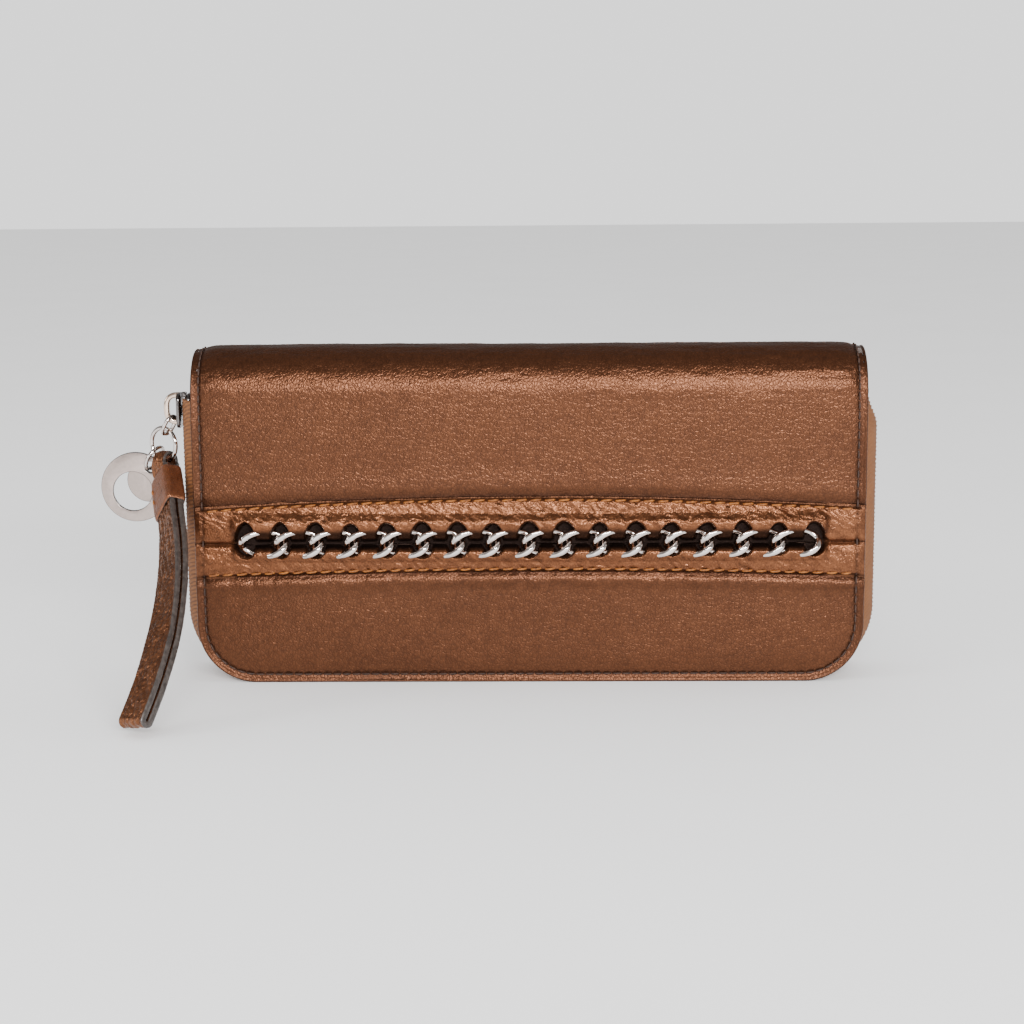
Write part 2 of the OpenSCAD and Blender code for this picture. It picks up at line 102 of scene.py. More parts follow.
CAM_YAW = 1.33
CAM_PITCH = 10.02
CAM_ROLL = -0.48
CAM_DIST = 570.3
CAM_LENS = 70.3
CAM_SENSOR = 36
CAM_AIM = np.array([-4.74, -13.0, 50.0])


def make_camera():
    """The camera at the photograph's viewing angle, from its turn, pitch, roll and distance."""
    yaw, pitch, roll = (math.radians(a) for a in (CAM_YAW, CAM_PITCH, CAM_ROLL))
    level = math.cos(pitch)
    ahead = np.array([-math.sin(yaw) * level, math.cos(yaw) * level, -math.sin(pitch)])
    right = np.array([math.cos(yaw), math.sin(yaw), 0.0])
    up = np.cross(right, ahead)
    right, up = (
        math.cos(roll) * right + math.sin(roll) * up,
        -math.sin(roll) * right + math.cos(roll) * up,
    )
    place = (CAM_AIM - CAM_DIST * ahead) * MM
    data = bpy.data.cameras.new("camera")
    data.lens = CAM_LENS
    data.sensor_width = CAM_SENSOR
    cam = bpy.data.objects.new("camera", data)
    bpy.context.scene.collection.objects.link(cam)
    turn = Matrix((right, up, -ahead)).transposed().to_4x4()
    cam.matrix_world = Matrix.Translation(Vector(place)) @ turn
    bpy.context.scene.camera = cam


make_camera()

# ---------- noise on arrays ----------


def dice(ix, iy, seed):
    """A repeatable number from 0 to 1 for each cell."""
    v = np.sin(ix * 127.1 + iy * 311.7 + seed * 74.7) * 43758.5453
    return v - np.floor(v)


def value_noise(x, y, seed=0):
    """Smooth noise from -1 to 1."""
    ix, iy = np.floor(x), np.floor(y)
    fx, fy = x - ix, y - iy
    fx, fy = fx * fx * (3 - 2 * fx), fy * fy * (3 - 2 * fy)
    low = dice(ix, iy, seed) * (1 - fx) + dice(ix + 1, iy, seed) * fx
    high = dice(ix, iy + 1, seed) * (1 - fx) + dice(ix + 1, iy + 1, seed) * fx
    return (low * (1 - fy) + high * fy) * 2 - 1


def layered(x, y, seed=0, octaves=3):
    """Several scales of value noise on top of each other."""
    total = np.zeros(np.broadcast(x, y).shape)
    for k in range(octaves):
        total = total + value_noise(x * 2.03**k, y * 2.03**k, seed + 11 * k) / 1.9**k
    return total


def cells(x, y, seed=0):
    """Distance to the border of the nearest cell: 0 on a crease, up to about 1 on a pebble."""
    ix, iy = np.floor(x), np.floor(y)
    near = np.full(np.broadcast(x, y).shape, 9.0)
    second = near.copy()
    for dx in (-1, 0, 1):
        for dy in (-1, 0, 1):
            cx, cy = ix + dx, iy + dy
            px = cx + 0.1 + 0.8 * dice(cx, cy, seed)
            py = cy + 0.1 + 0.8 * dice(cx, cy, seed + 5)
            d = np.hypot(x - px, y - py)
            second = np.where(d < near, near, np.minimum(second, d))
            near = np.minimum(near, d)
    return second - near


def smooth(a, b, x):
    """0 below a, 1 above b and a soft step between."""
    t = np.clip((x - a) / (b - a), 0, 1)
    return t * t * (3 - 2 * t)


def bell(v, width, at=0.0):
    return np.exp(-(((v - at) / width) ** 2))


def squared(v, power):
    """A sine or cosine pushed out towards a rounded square."""
    return np.sign(v) * np.abs(v) ** power


def pebbles(x, y, seed=0, size=1.5, tall=1.35):
    """Leather grain: rounded pebbles with narrow creases, 0 in a crease and 1 on a pebble."""
    wx = x / size + 0.35 * value_noise(x / 3.1, y / 3.1, seed + 3)
    wy = y / (size * tall) + 0.35 * value_noise(x / 2.7, y / 2.7, seed + 4)
    return np.power(smooth(0.0, 0.55, cells(wx, wy, seed)), 0.7)


# ---------- meshes from grids ----------


def make_object(name, points, faces, materials, face_material=None, shade=None):
    """A mesh object. shade, 0 to 1 for each point, is how much its material is darkened there."""
    mesh = bpy.data.meshes.new(name)
    points = (np.asarray(points, float) * MM).tolist()
    mesh.from_pydata(points, [], [tuple(int(i) for i in f) for f in faces])
    for m in materials:
        mesh.materials.append(m)
    if face_material is not None:
        mesh.polygons.foreach_set("material_index", np.asarray(face_material, np.int32))
    mesh.polygons.foreach_set("use_smooth", np.full(len(mesh.polygons), True))
    if shade is not None:
        layer = mesh.attributes.new("shade", "FLOAT", "POINT")
        layer.data.foreach_set("value", np.clip(np.asarray(shade, np.float32).ravel(), 0, 1))
    mesh.validate()
    mesh.update()
    obj = bpy.data.objects.new(name, mesh)
    bpy.context.scene.collection.objects.link(obj)
    return obj


def grid_faces(nu, nv, base=0, loop_u=False, loop_v=False, flip=False):
    """Quads of a grid whose point (i, j) has index base + i * nv + j."""
    iu = np.arange(nu if loop_u else nu - 1)
    iv = np.arange(nv if loop_v else nv - 1)
    a, b = np.meshgrid(iu, iv, indexing="ij")
    a2, b2 = (a + 1) % nu, (b + 1) % nv
    quads = np.stack([a * nv + b, a2 * nv + b, a2 * nv + b2, a * nv + b2], -1)
    quads = quads.reshape(-1, 4) + base
    return quads[:, ::-1] if flip else quads


def shell(name, outer, inner, materials, shade=None):
    """A closed skin between two grids of the same size, joined along their borders."""
    nu, nv = outer.shape[:2]
    count = nu * nv
    rim = (
        [i * nv for i in range(nu)]
        + [(nu - 1) * nv + j for j in range(1, nv)]
        + [i * nv + nv - 1 for i in range(nu - 2, -1, -1)]
        + [j for j in range(nv - 2, 0, -1)]
    )
    rim = np.array(rim)
    nxt = np.roll(rim, -1)
    wall = np.stack([rim, rim + count, nxt + count, nxt], -1)
    faces = np.concatenate([grid_faces(nu, nv), grid_faces(nu, nv, count, flip=True), wall])
    points = np.concatenate([outer.reshape(-1, 3), inner.reshape(-1, 3)])
    if shade is not None:
        shade = np.concatenate([shade.ravel(), shade.ravel() * 0 + 0.5])
    obj = make_object(name, points, faces, materials, shade=shade)
    smooth_face = np.full(len(faces), True)
    smooth_face[-len(wall) :] = False
    obj.data.polygons.foreach_set("use_smooth", smooth_face)
    fix_normals(obj)
    return obj


def fix_normals(obj, weld=0.004):
    """Welds points that coincide and turns all faces outwards."""
    bm = bmesh.new()
    bm.from_mesh(obj.data)
    bmesh.ops.remove_doubles(bm, verts=bm.verts, dist=weld * MM)
    bmesh.ops.recalc_face_normals(bm, faces=bm.faces)
    bm.to_mesh(obj.data)
    bm.free()
    obj.data.update()


def run_length(path):
    """Length along a polyline at each of its points."""
    return np.concatenate([[0], np.cumsum(np.linalg.norm(np.diff(path, axis=0), axis=1))])


def sweep(path, radius, sides=10, closed=False, up_hint=(0.0, 0.0, 1.0), ply=0.0, twist=0.0):
    """Points and faces of a round wire along a path. ply and twist give it the lay of a thread."""
    path = np.asarray(path, float)
    n = len(path)
    if closed:
        tangent = np.roll(path, -1, 0) - np.roll(path, 1, 0)
    else:
        tangent = np.gradient(path, axis=0)
    tangent /= np.linalg.norm(tangent, axis=1)[:, None] + 1e-12
    side = np.zeros_like(path)
    hint = np.asarray(up_hint, float)
    first = hint - (hint @ tangent[0]) * tangent[0]
    if np.linalg.norm(first) < 1e-3:
        first = np.array([1.0, 0.0, 0.0]) - tangent[0, 0] * tangent[0]
    side[0] = first / np.linalg.norm(first)
    for i in range(1, n):
        s = side[i - 1] - (side[i - 1] @ tangent[i]) * tangent[i]
        side[i] = s / np.linalg.norm(s)
    other = np.cross(tangent, side)
    if closed:
        back = side[-1] - (side[-1] @ tangent[0]) * tangent[0]
        slip = math.atan2(back @ other[0], back @ side[0])
        angle = -slip * np.arange(n) / n
        side, other = (
            side * np.cos(angle)[:, None] + other * np.sin(angle)[:, None],
            other * np.cos(angle)[:, None] - side * np.sin(angle)[:, None],
        )
    r = np.broadcast_to(np.asarray(radius, float), (n,))
    a = np.linspace(0, 2 * math.pi, sides, endpoint=False)
    length = run_length(path)
    swell = 1 + ply * np.cos(3 * a[None, :] + twist * length[:, None]) if ply else np.ones((n, sides))
    ring = (
        path[:, None, :]
        + (r[:, None] * swell)[:, :, None]
        * (np.cos(a)[None, :, None] * side[:, None, :] + np.sin(a)[None, :, None] * other[:, None, :])
    )
    faces = grid_faces(n, sides, loop_u=closed, loop_v=True).tolist()
    if not closed:
        faces.append(list(range(sides)))
        faces.append([(n - 1) * sides + j for j in range(sides - 1, -1, -1)])
    return ring.reshape(-1, 3), faces


def joined(parts):
    """One list of points and faces out of several."""
    points, faces, base = [], [], 0
    for p, f in parts:
        points.append(p)
        faces.extend([[i + base for i in face] for face in f])
        base += len(p)
    return np.concatenate(points), faces


def attach(obj, slot, body, *nodes):
    """Puts a piece in place of its CAD nodes and on its body. slot is not used."""
    if nodes:
        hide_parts(*nodes)
    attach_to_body(obj, body)


# ---------- materials ----------


class Nodes:
    """A short way to wire a procedural material."""

    def __init__(self, name):
        self.mat = bpy.data.materials.new(name)
        self.mat.use_nodes = True
        self.tree = self.mat.node_tree
        self.shader = self.tree.nodes["Principled BSDF"]
        coord = self.new("ShaderNodeTexCoord")
        self.scale = self.new("ShaderNodeMapping")
        self.scale.inputs["Scale"].default_value = (1 / MM,) * 3
        self.link(coord.outputs["Object"], self.scale.inputs["Vector"])
        self.place = self.scale.outputs["Vector"]

    def new(self, kind, **values):
        node = self.tree.nodes.new(kind)
        for k, v in values.items():
            setattr(node, k, v)
        return node

    def link(self, a, b):
        self.tree.links.new(a, b)

    def stretch(self, x, y, z, turn=(0, 0, 0)):
        node = self.new("ShaderNodeMapping")
        node.inputs["Scale"].default_value = (x, y, z)
        node.inputs["Rotation"].default_value = turn
        self.link(self.place, node.inputs["Vector"])
        return node.outputs["Vector"]

    def texture(self, kind, output, vector=None, settings=None, **inputs):
        node = self.new(kind, **(settings or {}))
        for key, v in inputs.items():
            node.inputs[key].default_value = v
        self.link(vector or self.place, node.inputs["Vector"])
        return node.outputs[output]

    def noise(self, scale, detail=3, vector=None):
        return self.texture("ShaderNodeTexNoise", "Fac", vector, Scale=scale, Detail=detail, Roughness=0.55)

    def voronoi(self, scale, vector=None):
        """Distance to the edges between cells."""
        cut = {"feature": "DISTANCE_TO_EDGE"}
        return self.texture("ShaderNodeTexVoronoi", "Distance", vector, cut, Scale=scale)

    def wave(self, scale, direction, distortion):
        bands = {"bands_direction": direction}
        return self.texture("ShaderNodeTexWave", "Fac", None, bands, Scale=scale, Distortion=distortion)

    def ramp(self, value, *stops):
        node = self.new("ShaderNodeValToRGB")
        ends = node.color_ramp.elements
        while len(ends) < len(stops):
            ends.new(0.5)
        for e, (at, col) in zip(ends, stops):
            e.position = at
            e.color = (*col, 1) if hasattr(col, "__len__") else (col, col, col, 1)
        self.link(value, node.inputs["Fac"])
        return node.outputs["Color"]

    def mix(self, share, a, b, mode="MIX"):
        node = self.new("ShaderNodeMix", data_type="RGBA", blend_type=mode)
        for key, v in ((0, share), (6, a), (7, b)):
            if isinstance(v, (int, float)):
                node.inputs[key].default_value = v if key == 0 else (v, v, v, 1)
            elif isinstance(v, tuple):
                node.inputs[key].default_value = (*v, 1)
            else:
                self.link(v, node.inputs[key])
        return node.outputs[2]

    def blotches(self, value, dark, light):
        return self.mix(self.ramp(value, (0.35, 0.0), (0.7, 1.0)), dark, light)

    def math(self, operation, a, b):
        node = self.new("ShaderNodeMath", operation=operation)
        for key, v in ((0, a), (1, b)):
            if isinstance(v, (int, float)):
                node.inputs[key].default_value = v
            else:
                self.link(v, node.inputs[key])
        return node.outputs[0]

    def shine(self, value, share, base):
        """Roughness that varies with a value: share of it on top of base."""
        return self.math("ADD", self.math("MULTIPLY", value, share), base)

    def bump(self, height, distance, under=None):
        node = self.new("ShaderNodeBump")
        node.inputs["Strength"].default_value = 1.0
        node.inputs["Distance"].default_value = distance * MM
        self.link(height, node.inputs["Height"])
        if under is not None:
            self.link(under, node.inputs["Normal"])
        return node.outputs["Normal"]

    def finish(self, **sockets):
        for key, v in sockets.items():
            socket = self.shader.inputs[key.replace("_", " ")]
            if isinstance(v, tuple):
                socket.default_value = (*v, 1) if len(v) == 3 and socket.type == "RGBA" else v
            elif isinstance(v, (int, float)):
                socket.default_value = v
            else:
                self.link(v, socket)
        return self.mat


def foiled(name, light, dark, crease, metallic, rough, grain, depth):
    """Pebbled metallic leather. The shade attribute darkens the grain creases and carries painted shade
    along seams, stitches, cut edges, openings and turned-in places.
    """
    m = Nodes(f"{name}_leather")
    warp = m.stretch(1.0, 1.0, 0.7)
    big = m.noise(0.03)
    patch = m.noise(0.5, 5)
    edge = m.voronoi(grain, vector=warp)
    fine = m.voronoi(grain * 2.1, vector=warp)
    # painted shade: the shade attribute darkens the colour towards the crease colour, in grain creases and
    # in shaded places, and roughens it
    wear_and_painted_shade = m.new("ShaderNodeAttribute", attribute_name="shade").outputs["Fac"]
    tone = m.blotches(patch, dark, light)
    tone = m.mix(m.ramp(big, (0.35, 0.0), (0.65, 0.4)), tone, light)
    tone = m.mix(m.ramp(edge, (0.0, 0.42), (0.10, 0.0)), tone, crease)
    colour = m.mix(wear_and_painted_shade, tone, crease)
    speckle = m.noise(7.0, 2)
    colour = m.mix(m.ramp(speckle, (0.62, 0.0), (0.85, 0.25)), colour, light)
    shine = m.shine(patch, 0.16, rough - 0.08)
    shine = m.shine(wear_and_painted_shade, 0.25, shine)
    bump = m.bump(m.ramp(edge, (0.0, 0.0), (0.22, 1.0)), depth)
    bump = m.bump(m.ramp(fine, (0.0, 0.0), (0.3, 1.0)), depth * 0.35, under=bump)
    bump = m.bump(m.noise(9.0), depth * 0.12, under=bump)
    return m.finish(
        Base_Color=colour, Metallic=metallic, Roughness=shine, Normal=bump, IOR=1.5
    )


def metal(name, colour, dull, rough, scratch=0.5):
    """Plated metal with fine scratches and duller smears."""
    m = Nodes(name)
    smear = m.noise(0.9, 4)
    lines = m.noise(5.0, vector=m.stretch(0.25, 1.0, 1.0, (0.3, 0.2, 0.5)))
    tone = m.mix(m.ramp(smear, (0.4, 0.0), (0.75, 0.5)), colour, dull)
    shine = m.shine(smear, 0.14 * scratch, rough)
    bump = m.bump(lines, 0.004 * scratch)
    return m.finish(Base_Color=tone, Metallic=1.0, Roughness=shine, Normal=bump, IOR=1.5)


def thread(name, light, dark):
    """Twisted sewing thread."""
    m = Nodes(name)
    strand = m.wave(2.2, "DIAGONAL", 1.2)
    tone = m.blotches(m.noise(1.3), dark, light)
    tone = m.mix(m.ramp(strand, (0.0, 0.55), (0.5, 0.0)), tone, dark)
    bump = m.bump(strand, 0.03)
    return m.finish(Base_Color=tone, Roughness=0.6, Normal=bump)


def woven(name, light, dark, rib, fuzz=0.3):
    """Cloth with slanted ribs and a cross thread."""
    m = Nodes(name)
    ribs = m.wave(rib, "DIAGONAL", 0.6)
    cross = m.wave(rib * 1.7, "Y", 0.8)
    # random wear patches; this cloth carries no painted shade
    wear_and_painted_shade = m.noise(0.25, 4)
    tone = m.mix(m.ramp(ribs, (0.15, 0.0), (0.7, 1.0)), dark, light)
    tone = m.mix(m.ramp(wear_and_painted_shade, (0.4, 0.0), (0.75, 0.5)), tone, light)
    tone = m.mix(m.ramp(cross, (0.0, 0.3), (0.4, 0.0)), tone, dark)
    bump = m.bump(cross, 0.03, m.bump(ribs, 0.06))
    return m.finish(
        Base_Color=tone, Roughness=0.8, Normal=bump, Sheen_Weight=fuzz, Sheen_Roughness=0.5
    )


def smooth_leather(name, light, dark, rough=0.5):
    """Finely grained leather without foil."""
    m = Nodes(name)
    grain = m.voronoi(1.5)
    patch = m.noise(0.12, 4)
    tone = m.blotches(patch, dark, light)
    tone = m.mix(m.ramp(grain, (0.0, 0.4), (0.1, 0.0)), tone, dark)
    bump = m.bump(m.ramp(grain, (0.0, 0.0), (0.2, 1.0)), 0.03, m.bump(m.noise(3.0), 0.02))
    shine = m.shine(patch, 0.15, rough)
    return m.finish(Base_Color=tone, Roughness=shine, Normal=bump, IOR=1.5)


def edge_paint(name, colour, dark):
    """The dark lacquer on cut leather edges."""
    m = Nodes(name)
    patch = m.noise(0.8, 4)
    tone = m.blotches(patch, dark, colour)
    bump = m.bump(m.noise(1.6), 0.06)
    shine = m.shine(patch, 0.25, 0.28)
    return m.finish(
        Base_Color=tone, Roughness=shine, Normal=bump, Coat_Weight=0.3, Coat_Roughness=0.2
    )


# UMBER and the black below it colour the grain creases and the painted shade at seams, stitches, cut edges
# and in the band's openings
COPPER = (0.115, 0.042, 0.018)
DEEP_COPPER = (0.088, 0.0315, 0.0135)
UMBER = (0.030, 0.012, 0.007)
CREASE_AND_SHADE_BLACK = (0.010, 0.0045, 0.003)
MAT = {
    "bronze": foiled("bronze", COPPER, DEEP_COPPER, UMBER, 0.84, 0.31, 1.15, 0.045),
    "band": foiled("band", (0.23, 0.086, 0.037), (0.12, 0.044, 0.019), CREASE_AND_SHADE_BLACK, 0.86, 0.28, 1.5, 0.04),
    "strap": foiled("strap", (0.24, 0.095, 0.042), (0.13, 0.05, 0.023), UMBER, 0.84, 0.28, 1.3, 0.04),
    "keeper": foiled("keeper", (0.30, 0.11, 0.05), (0.15, 0.055, 0.026), UMBER, 0.8, 0.30, 1.3, 0.07),
    "inner": smooth_leather("inner_leather", (0.10, 0.042, 0.022), (0.055, 0.023, 0.012)),
    "lining": woven("lining_twill", (0.085, 0.04, 0.023), (0.04, 0.018, 0.011), 2.4),
    "tape": woven("zip_tape", (0.205, 0.073, 0.0165), (0.09, 0.028, 0.006), 0.55, fuzz=0.0),
    "coil": smooth_leather("zip_coil", (0.22, 0.085, 0.021), (0.10, 0.035, 0.009), 0.4),
    "gold_thread": thread("gold_thread", (0.40, 0.130, 0.010), (0.12, 0.032, 0.003)),
    "brown_thread": thread("brown_thread", (0.060, 0.022, 0.010), (0.022, 0.009, 0.005)),
    "tan_thread": thread("tan_thread", (0.22, 0.10, 0.045), (0.10, 0.042, 0.018)),
    "edge": edge_paint("edge_paint", (0.060, 0.048, 0.042), (0.022, 0.017, 0.015)),
    "board": smooth_leather("fibre_board", (0.17, 0.14, 0.11), (0.10, 0.08, 0.06), 0.7),
    "chrome": metal("gunmetal", (0.74, 0.67, 0.63), (0.46, 0.41, 0.39), 0.09),
    "dark_metal": metal("dark_gunmetal", (0.16, 0.145, 0.14), (0.08, 0.072, 0.07), 0.14),
    "satin": metal("satin_nickel", (0.50, 0.41, 0.37), (0.38, 0.31, 0.28), 0.25, 0.8),
    # the charms' rims: polished nickel given a dark colour, a painted dark reflection
    "rim_painted_dark": metal("rim_nickel_painted_dark", (0.20, 0.18, 0.17), (0.10, 0.09, 0.085), 0.12),
    "pale_gold": metal("pale_nickel", (0.80, 0.62, 0.50), (0.52, 0.39, 0.31), 0.12),
}

# ---------- outer leather ----------

EDGE_R = LEATHER_T / 2
STITCH_IN = 2.5
STITCH_PITCH = 2.8
GRAIN_SEED = 20
GRAIN_SIZE = 1.35
SKIN_LAP = 0.8  # the front skin runs on under the back one on top of the spine
LAP_STEP = 0.03
ARC_STEP = 2.2  # degrees between the rows round a lower corner
FINE_D = (0.0, 0.06, 0.16, 0.3, 0.48, 0.7, 1.0, 1.4)


def half_width(t):
    """Half length of a cover at distance t up from its zip edge."""
    low = np.clip(1 - t / CORNER_R, 0, 1)
    arc = np.where(t < CORNER_R, np.sqrt(np.clip(1 - low**2, 0, 1)), 1)
    return HALF_W - CORNER_R + CORNER_R * arc


def edge_distance(x, t):
    """Distance from the cover's cut edge."""
    ax = np.abs(x) - (HALF_W - CORNER_R)
    corner = CORNER_R - np.hypot(np.maximum(ax, 0), np.maximum(CORNER_R - t, 0))
    plain = np.minimum(HALF_W - np.abs(x), t)
    return np.where((t < CORNER_R) & (ax > 0), corner, plain)


def on_cover(side, x, t, off):
    """Point of the outer skin at length x and run t, off millimetres out of it. side -1 is the front."""
    a = np.clip((t - SHOULDER) / SPINE_R, 0, None)
    z = np.where(t < SHOULDER, t, SHOULDER + SPINE_R * np.sin(a))
    y = side * SPINE_R * np.cos(a)
    ny, nz = side * np.cos(a), np.where(t < SHOULDER, 0, np.sin(a))
    return np.stack(np.broadcast_arrays(x, y + off * ny, z + off * nz), -1)


def rounding(d, r=EDGE_R):
    """How far a turned edge falls away from the face at distance d from the cut."""
    k = np.clip(1 - d / r, 0, 1)
    return r * (1 - np.sqrt(np.clip(1 - k * k, 0, 1)))


def columns(t, step):
    """X of each column along a row at run t: fine next to both edges, even between them."""
    h = half_width(t)
    inner = h - FINE_D[-1] - 0.4
    middle = np.linspace(-1, 1, int(round(2 * HALF_W / step)))
    left = [-(h - d) for d in FINE_D]
    right = [h - d for d in reversed(FINE_D)]
    return np.stack([*left, *(inner * k for k in middle), *right], -1)


def run_rows(low, high, step):
    """Rows between two levels. Round the lower corners they follow the arc."""
    rows = []
    if low < CORNER_R:
        rows += [CORNER_R * (1 - math.cos(a)) for a in np.radians(np.arange(0, 90, ARC_STEP))]
        low = CORNER_R
    rows += np.linspace(low, high, max(2, int(round((high - low) / step)))).tolist()
    return np.array(rows)


def stitch_groove(d, along):
    """The dent that the edge stitches pull into the leather, deepest at each hole."""
    depth, width = 0.2, 0.6
    hole = 0.55 + 0.45 * np.cos(2 * math.pi * along / STITCH_PITCH)
    return -depth * bell(d, width, STITCH_IN) * (0.6 + 0.6 * hole)


def edge_shade(d):
    """Painted shade along the edge stitches and the cut edge: darker in the stitch groove and where the
    edge rolls away.
    """
    return 0.45 * bell(d, 0.55, STITCH_IN), 0.30 * np.exp(-d / 1.6)


def whole_run(side, t):
    """Run over both covers, so that the relief goes on across the spine."""
    return t if side < 0 else 2 * TOP_T - t


def leather_relief(side, x, t):
    """Grain, slack and handling dents of the outer leather."""
    seed = GRAIN_SEED
    t = whole_run(side, t)
    grain = 0.075 * (pebbles(x, t, seed, GRAIN_SIZE) - 0.6)
    slack = 0.16 * layered(x / 38, t / 26, seed + 1)
    level = TOP_T - np.abs(TOP_T - t)
    fold = smooth(SHOULDER - 6, SHOULDER + 4, level)
    rays = 0.09 * fold * value_noise(x / 5.5 + 0.4 * value_noise(x / 9, t / 9, seed), t / 1.7, seed + 9)
    end = np.exp(-(HALF_W - np.abs(x)) / 4.5) * smooth(SHOULDER - 16, SHOULDER, level)
    end = end * smooth(3.0, 5.0, HALF_W - np.abs(x))
    folds_x, folds_t = x / 4.0 + 0.3 * np.sign(x) * t, t / 1.5 + 0.25 * np.abs(x)
    pinch = 0.30 * end * value_noise(folds_x, folds_t, seed + 12)
    return grain + slack + rays + pinch


def spine_pull(x, t):
    """The spine's ends are turned in softly."""
    d = HALF_W - np.abs(x)
    a = smooth(SHOULDER - 12, SHOULDER + 8, t)
    return -1.1 * a * bell(d, 3.2)


def bow_hi(x):
    """Upper seam of the chain band: it arches a little in the middle."""
    return SEAM_HI + 3.2 * (1 - (x / HALF_W) ** 2)


def bow_lo(x):
    """Lower seam of the chain band."""
    return SEAM_LO + 1.8 * (1 - (x / HALF_W) ** 2)


def cover_leather(name, side, rows, extra=None, row_map=None):
    """Closed leather skin over part of a cover.

    extra gives the rise and the painted shade along a seam, and row_map bends the rows to it.
    """
    t = rows[:, None]
    x = columns(rows, STEP)
    t = np.broadcast_to(t, x.shape).copy()
    if row_map is not None:
        t = row_map(x, t)
    d = edge_distance(x, np.minimum(t, SHOULDER))
    relief = leather_relief(side, x, t)
    whole = whole_run(side, t)
    crease = 1 - pebbles(x, whole, GRAIN_SEED, GRAIN_SIZE)
    blotch = smooth(-0.9, 1.2, layered(x / 9, whole / 7, 35))
    at_stitches, at_cut = edge_shade(d)
    # grain creases darken the colour; the stitch line and the cut edge add painted shade
    shade = 0.30 * crease * (0.35 + 0.65 * blotch) + at_stitches
    shade += at_cut
    calm = smooth(0.0, 1.6, d)
    off = -rounding(d) + calm * relief + spine_pull(x, t)
    off += stitch_groove(d, np.where(d + 0.3 < t, t, x))
    off += 0.22 * bell(d, 0.8, 1.15) * smooth(0, 0.5, d)
    off -= 0.55 * bell(d, 5.0) * smooth(0.2, 1.2, d)
    deep = rounding(d) - LEATHER_T
    if extra is not None:
        # dark is the painted shade where the panel rolls in to the seam
        rise, dark = extra(x, t)
        off = off + rise
        shade = shade + dark
    deep = np.minimum(deep, off)
    under = LAP_STEP * (t > TOP_T)
    off, deep = off - under, deep - under
    outer = on_cover(side, x, t, off)
    inner = on_cover(side, x, t, deep)
    return shell(name, outer, inner, [MAT["bronze"]], shade)


SEAM_SINK = 0.5
SEAM_ROUND = 0.45


def upper_seam(x, t):
    """The panel rolls in to the band's upper seam. Returns the rise and the painted shade in the roll."""
    d = np.maximum(t - bow_hi(x), 0)
    puff = 0.16 * bell(d, 2.8, 4.2)
    pucker = 0.14 * value_noise(x / 2.6, t / 2.2, 77) * np.exp(-d / 2.5)
    roll = -SEAM_SINK * (1 - smooth(0, 3.2, d)) + pucker
    return puff + roll - rounding(d, SEAM_ROUND), 0.6 * bell(d, 1.2)


def lower_seam(x, t):
    """The panel puffs up and rolls in to the band's lower seam. Returns the rise and the painted shade in
    the roll.
    """
    d = np.maximum(bow_lo(x) - t, 0)
    puff = 0.36 * bell(d, 1.7, 2.6) * (1 + 0.3 * value_noise(x / 2.4, t * 0, 79))
    pucker = 0.16 * value_noise(x / 1.9, t / 2.6, 79) * bell(d, 1.8, 2.5)
    roll = -SEAM_SINK * (1 - smooth(0, 2.0, d)) + pucker
    return puff + roll - rounding(d, SEAM_ROUND), 0.5 * bell(d, 0.8)


def fan(low, high):
    """Bends rows that run from low to high so that the low one follows the upper seam."""

    def apply(x, t):
        share = np.clip((high - t) / (high - low), 0, 1)
        return t + share**2 * (bow_hi(x) - low)

    return apply


def fan_down(high):
    """Bends rows below high so that the highest follows the lower seam."""

    def apply(x, t):
        share = np.clip((t - CORNER_R) / (high - CORNER_R), 0, 1)
        return t + share**2 * (bow_lo(x) - high)

    return apply


FOLD_LO = (0, -HALF_T * MM, (SHOULDER - 4) * MM)
FOLD_HI = (0, -HALF_T * MM, (SHOULDER + 6) * MM)
BACK_LO = (0, HALF_T * MM, (SHOULDER + 6) * MM)
BACK_HI = (0, HALF_T * MM, (SHOULDER - 4) * MM)
FRONT_HINGE = ("front_cover", "spine", FOLD_LO, FOLD_HI)
BACK_HINGE = ("spine", "back_cover", BACK_LO, BACK_HI)
STEP = 0.5


def seam_rows(low, high, step, at_low=True):
    """Even rows with finer ones next to the seam."""
    fine = np.array(FINE_D)
    if at_low:
        even_rows = np.arange(low + fine[-1] + step, high - 0.2, step)
        return np.concatenate([low + fine, even_rows, [high]])
    return np.concatenate([np.arange(low, high - fine[-1] - 0.2, step), (high - fine)[::-1]])


high_rows = seam_rows(SEAM_HI, TOP_T + SKIN_LAP, STEP)
front_upper = cover_leather(
    "front_upper_leather", -1, high_rows, upper_seam, fan(SEAM_HI, TOP_T)
)
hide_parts("front_upper_panel", "spine_leather")

low_rows = [run_rows(0, CORNER_R, STEP)[:-1], seam_rows(CORNER_R, SEAM_LO, STEP, False)]
front_lower = cover_leather(
    "front_lower_leather", -1, np.concatenate(low_rows), lower_seam, fan_down(SEAM_LO)
)
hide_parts("front_lower_panel")

back_leather = cover_leather("back_leather", 1, run_rows(0, TOP_T, STEP))
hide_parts("back_panel")

# ---------- the band with its chain ----------

LINKS = 16
PITCH = 10.15
LINK_A = 6.4
LINK_B = 3.5
WIRE = 1.9
TWIST = math.radians(45)
CHAIN_Y = -HALF_T - 0.3
LINK_X = (np.arange(LINKS) - (LINKS - 1) / 2) * PITCH
GAP_X = np.concatenate([[LINK_X[0] - PITCH / 2], LINK_X + PITCH / 2])
GROUND_AT = 2.12  # how far off its middle a link is ground flat
SLOT_END = 84.5
FLOOR_OFF = -1.25
FLAP_STEP = 0.24
FLAP_ROWS = 60
FLAP_T = 0.62


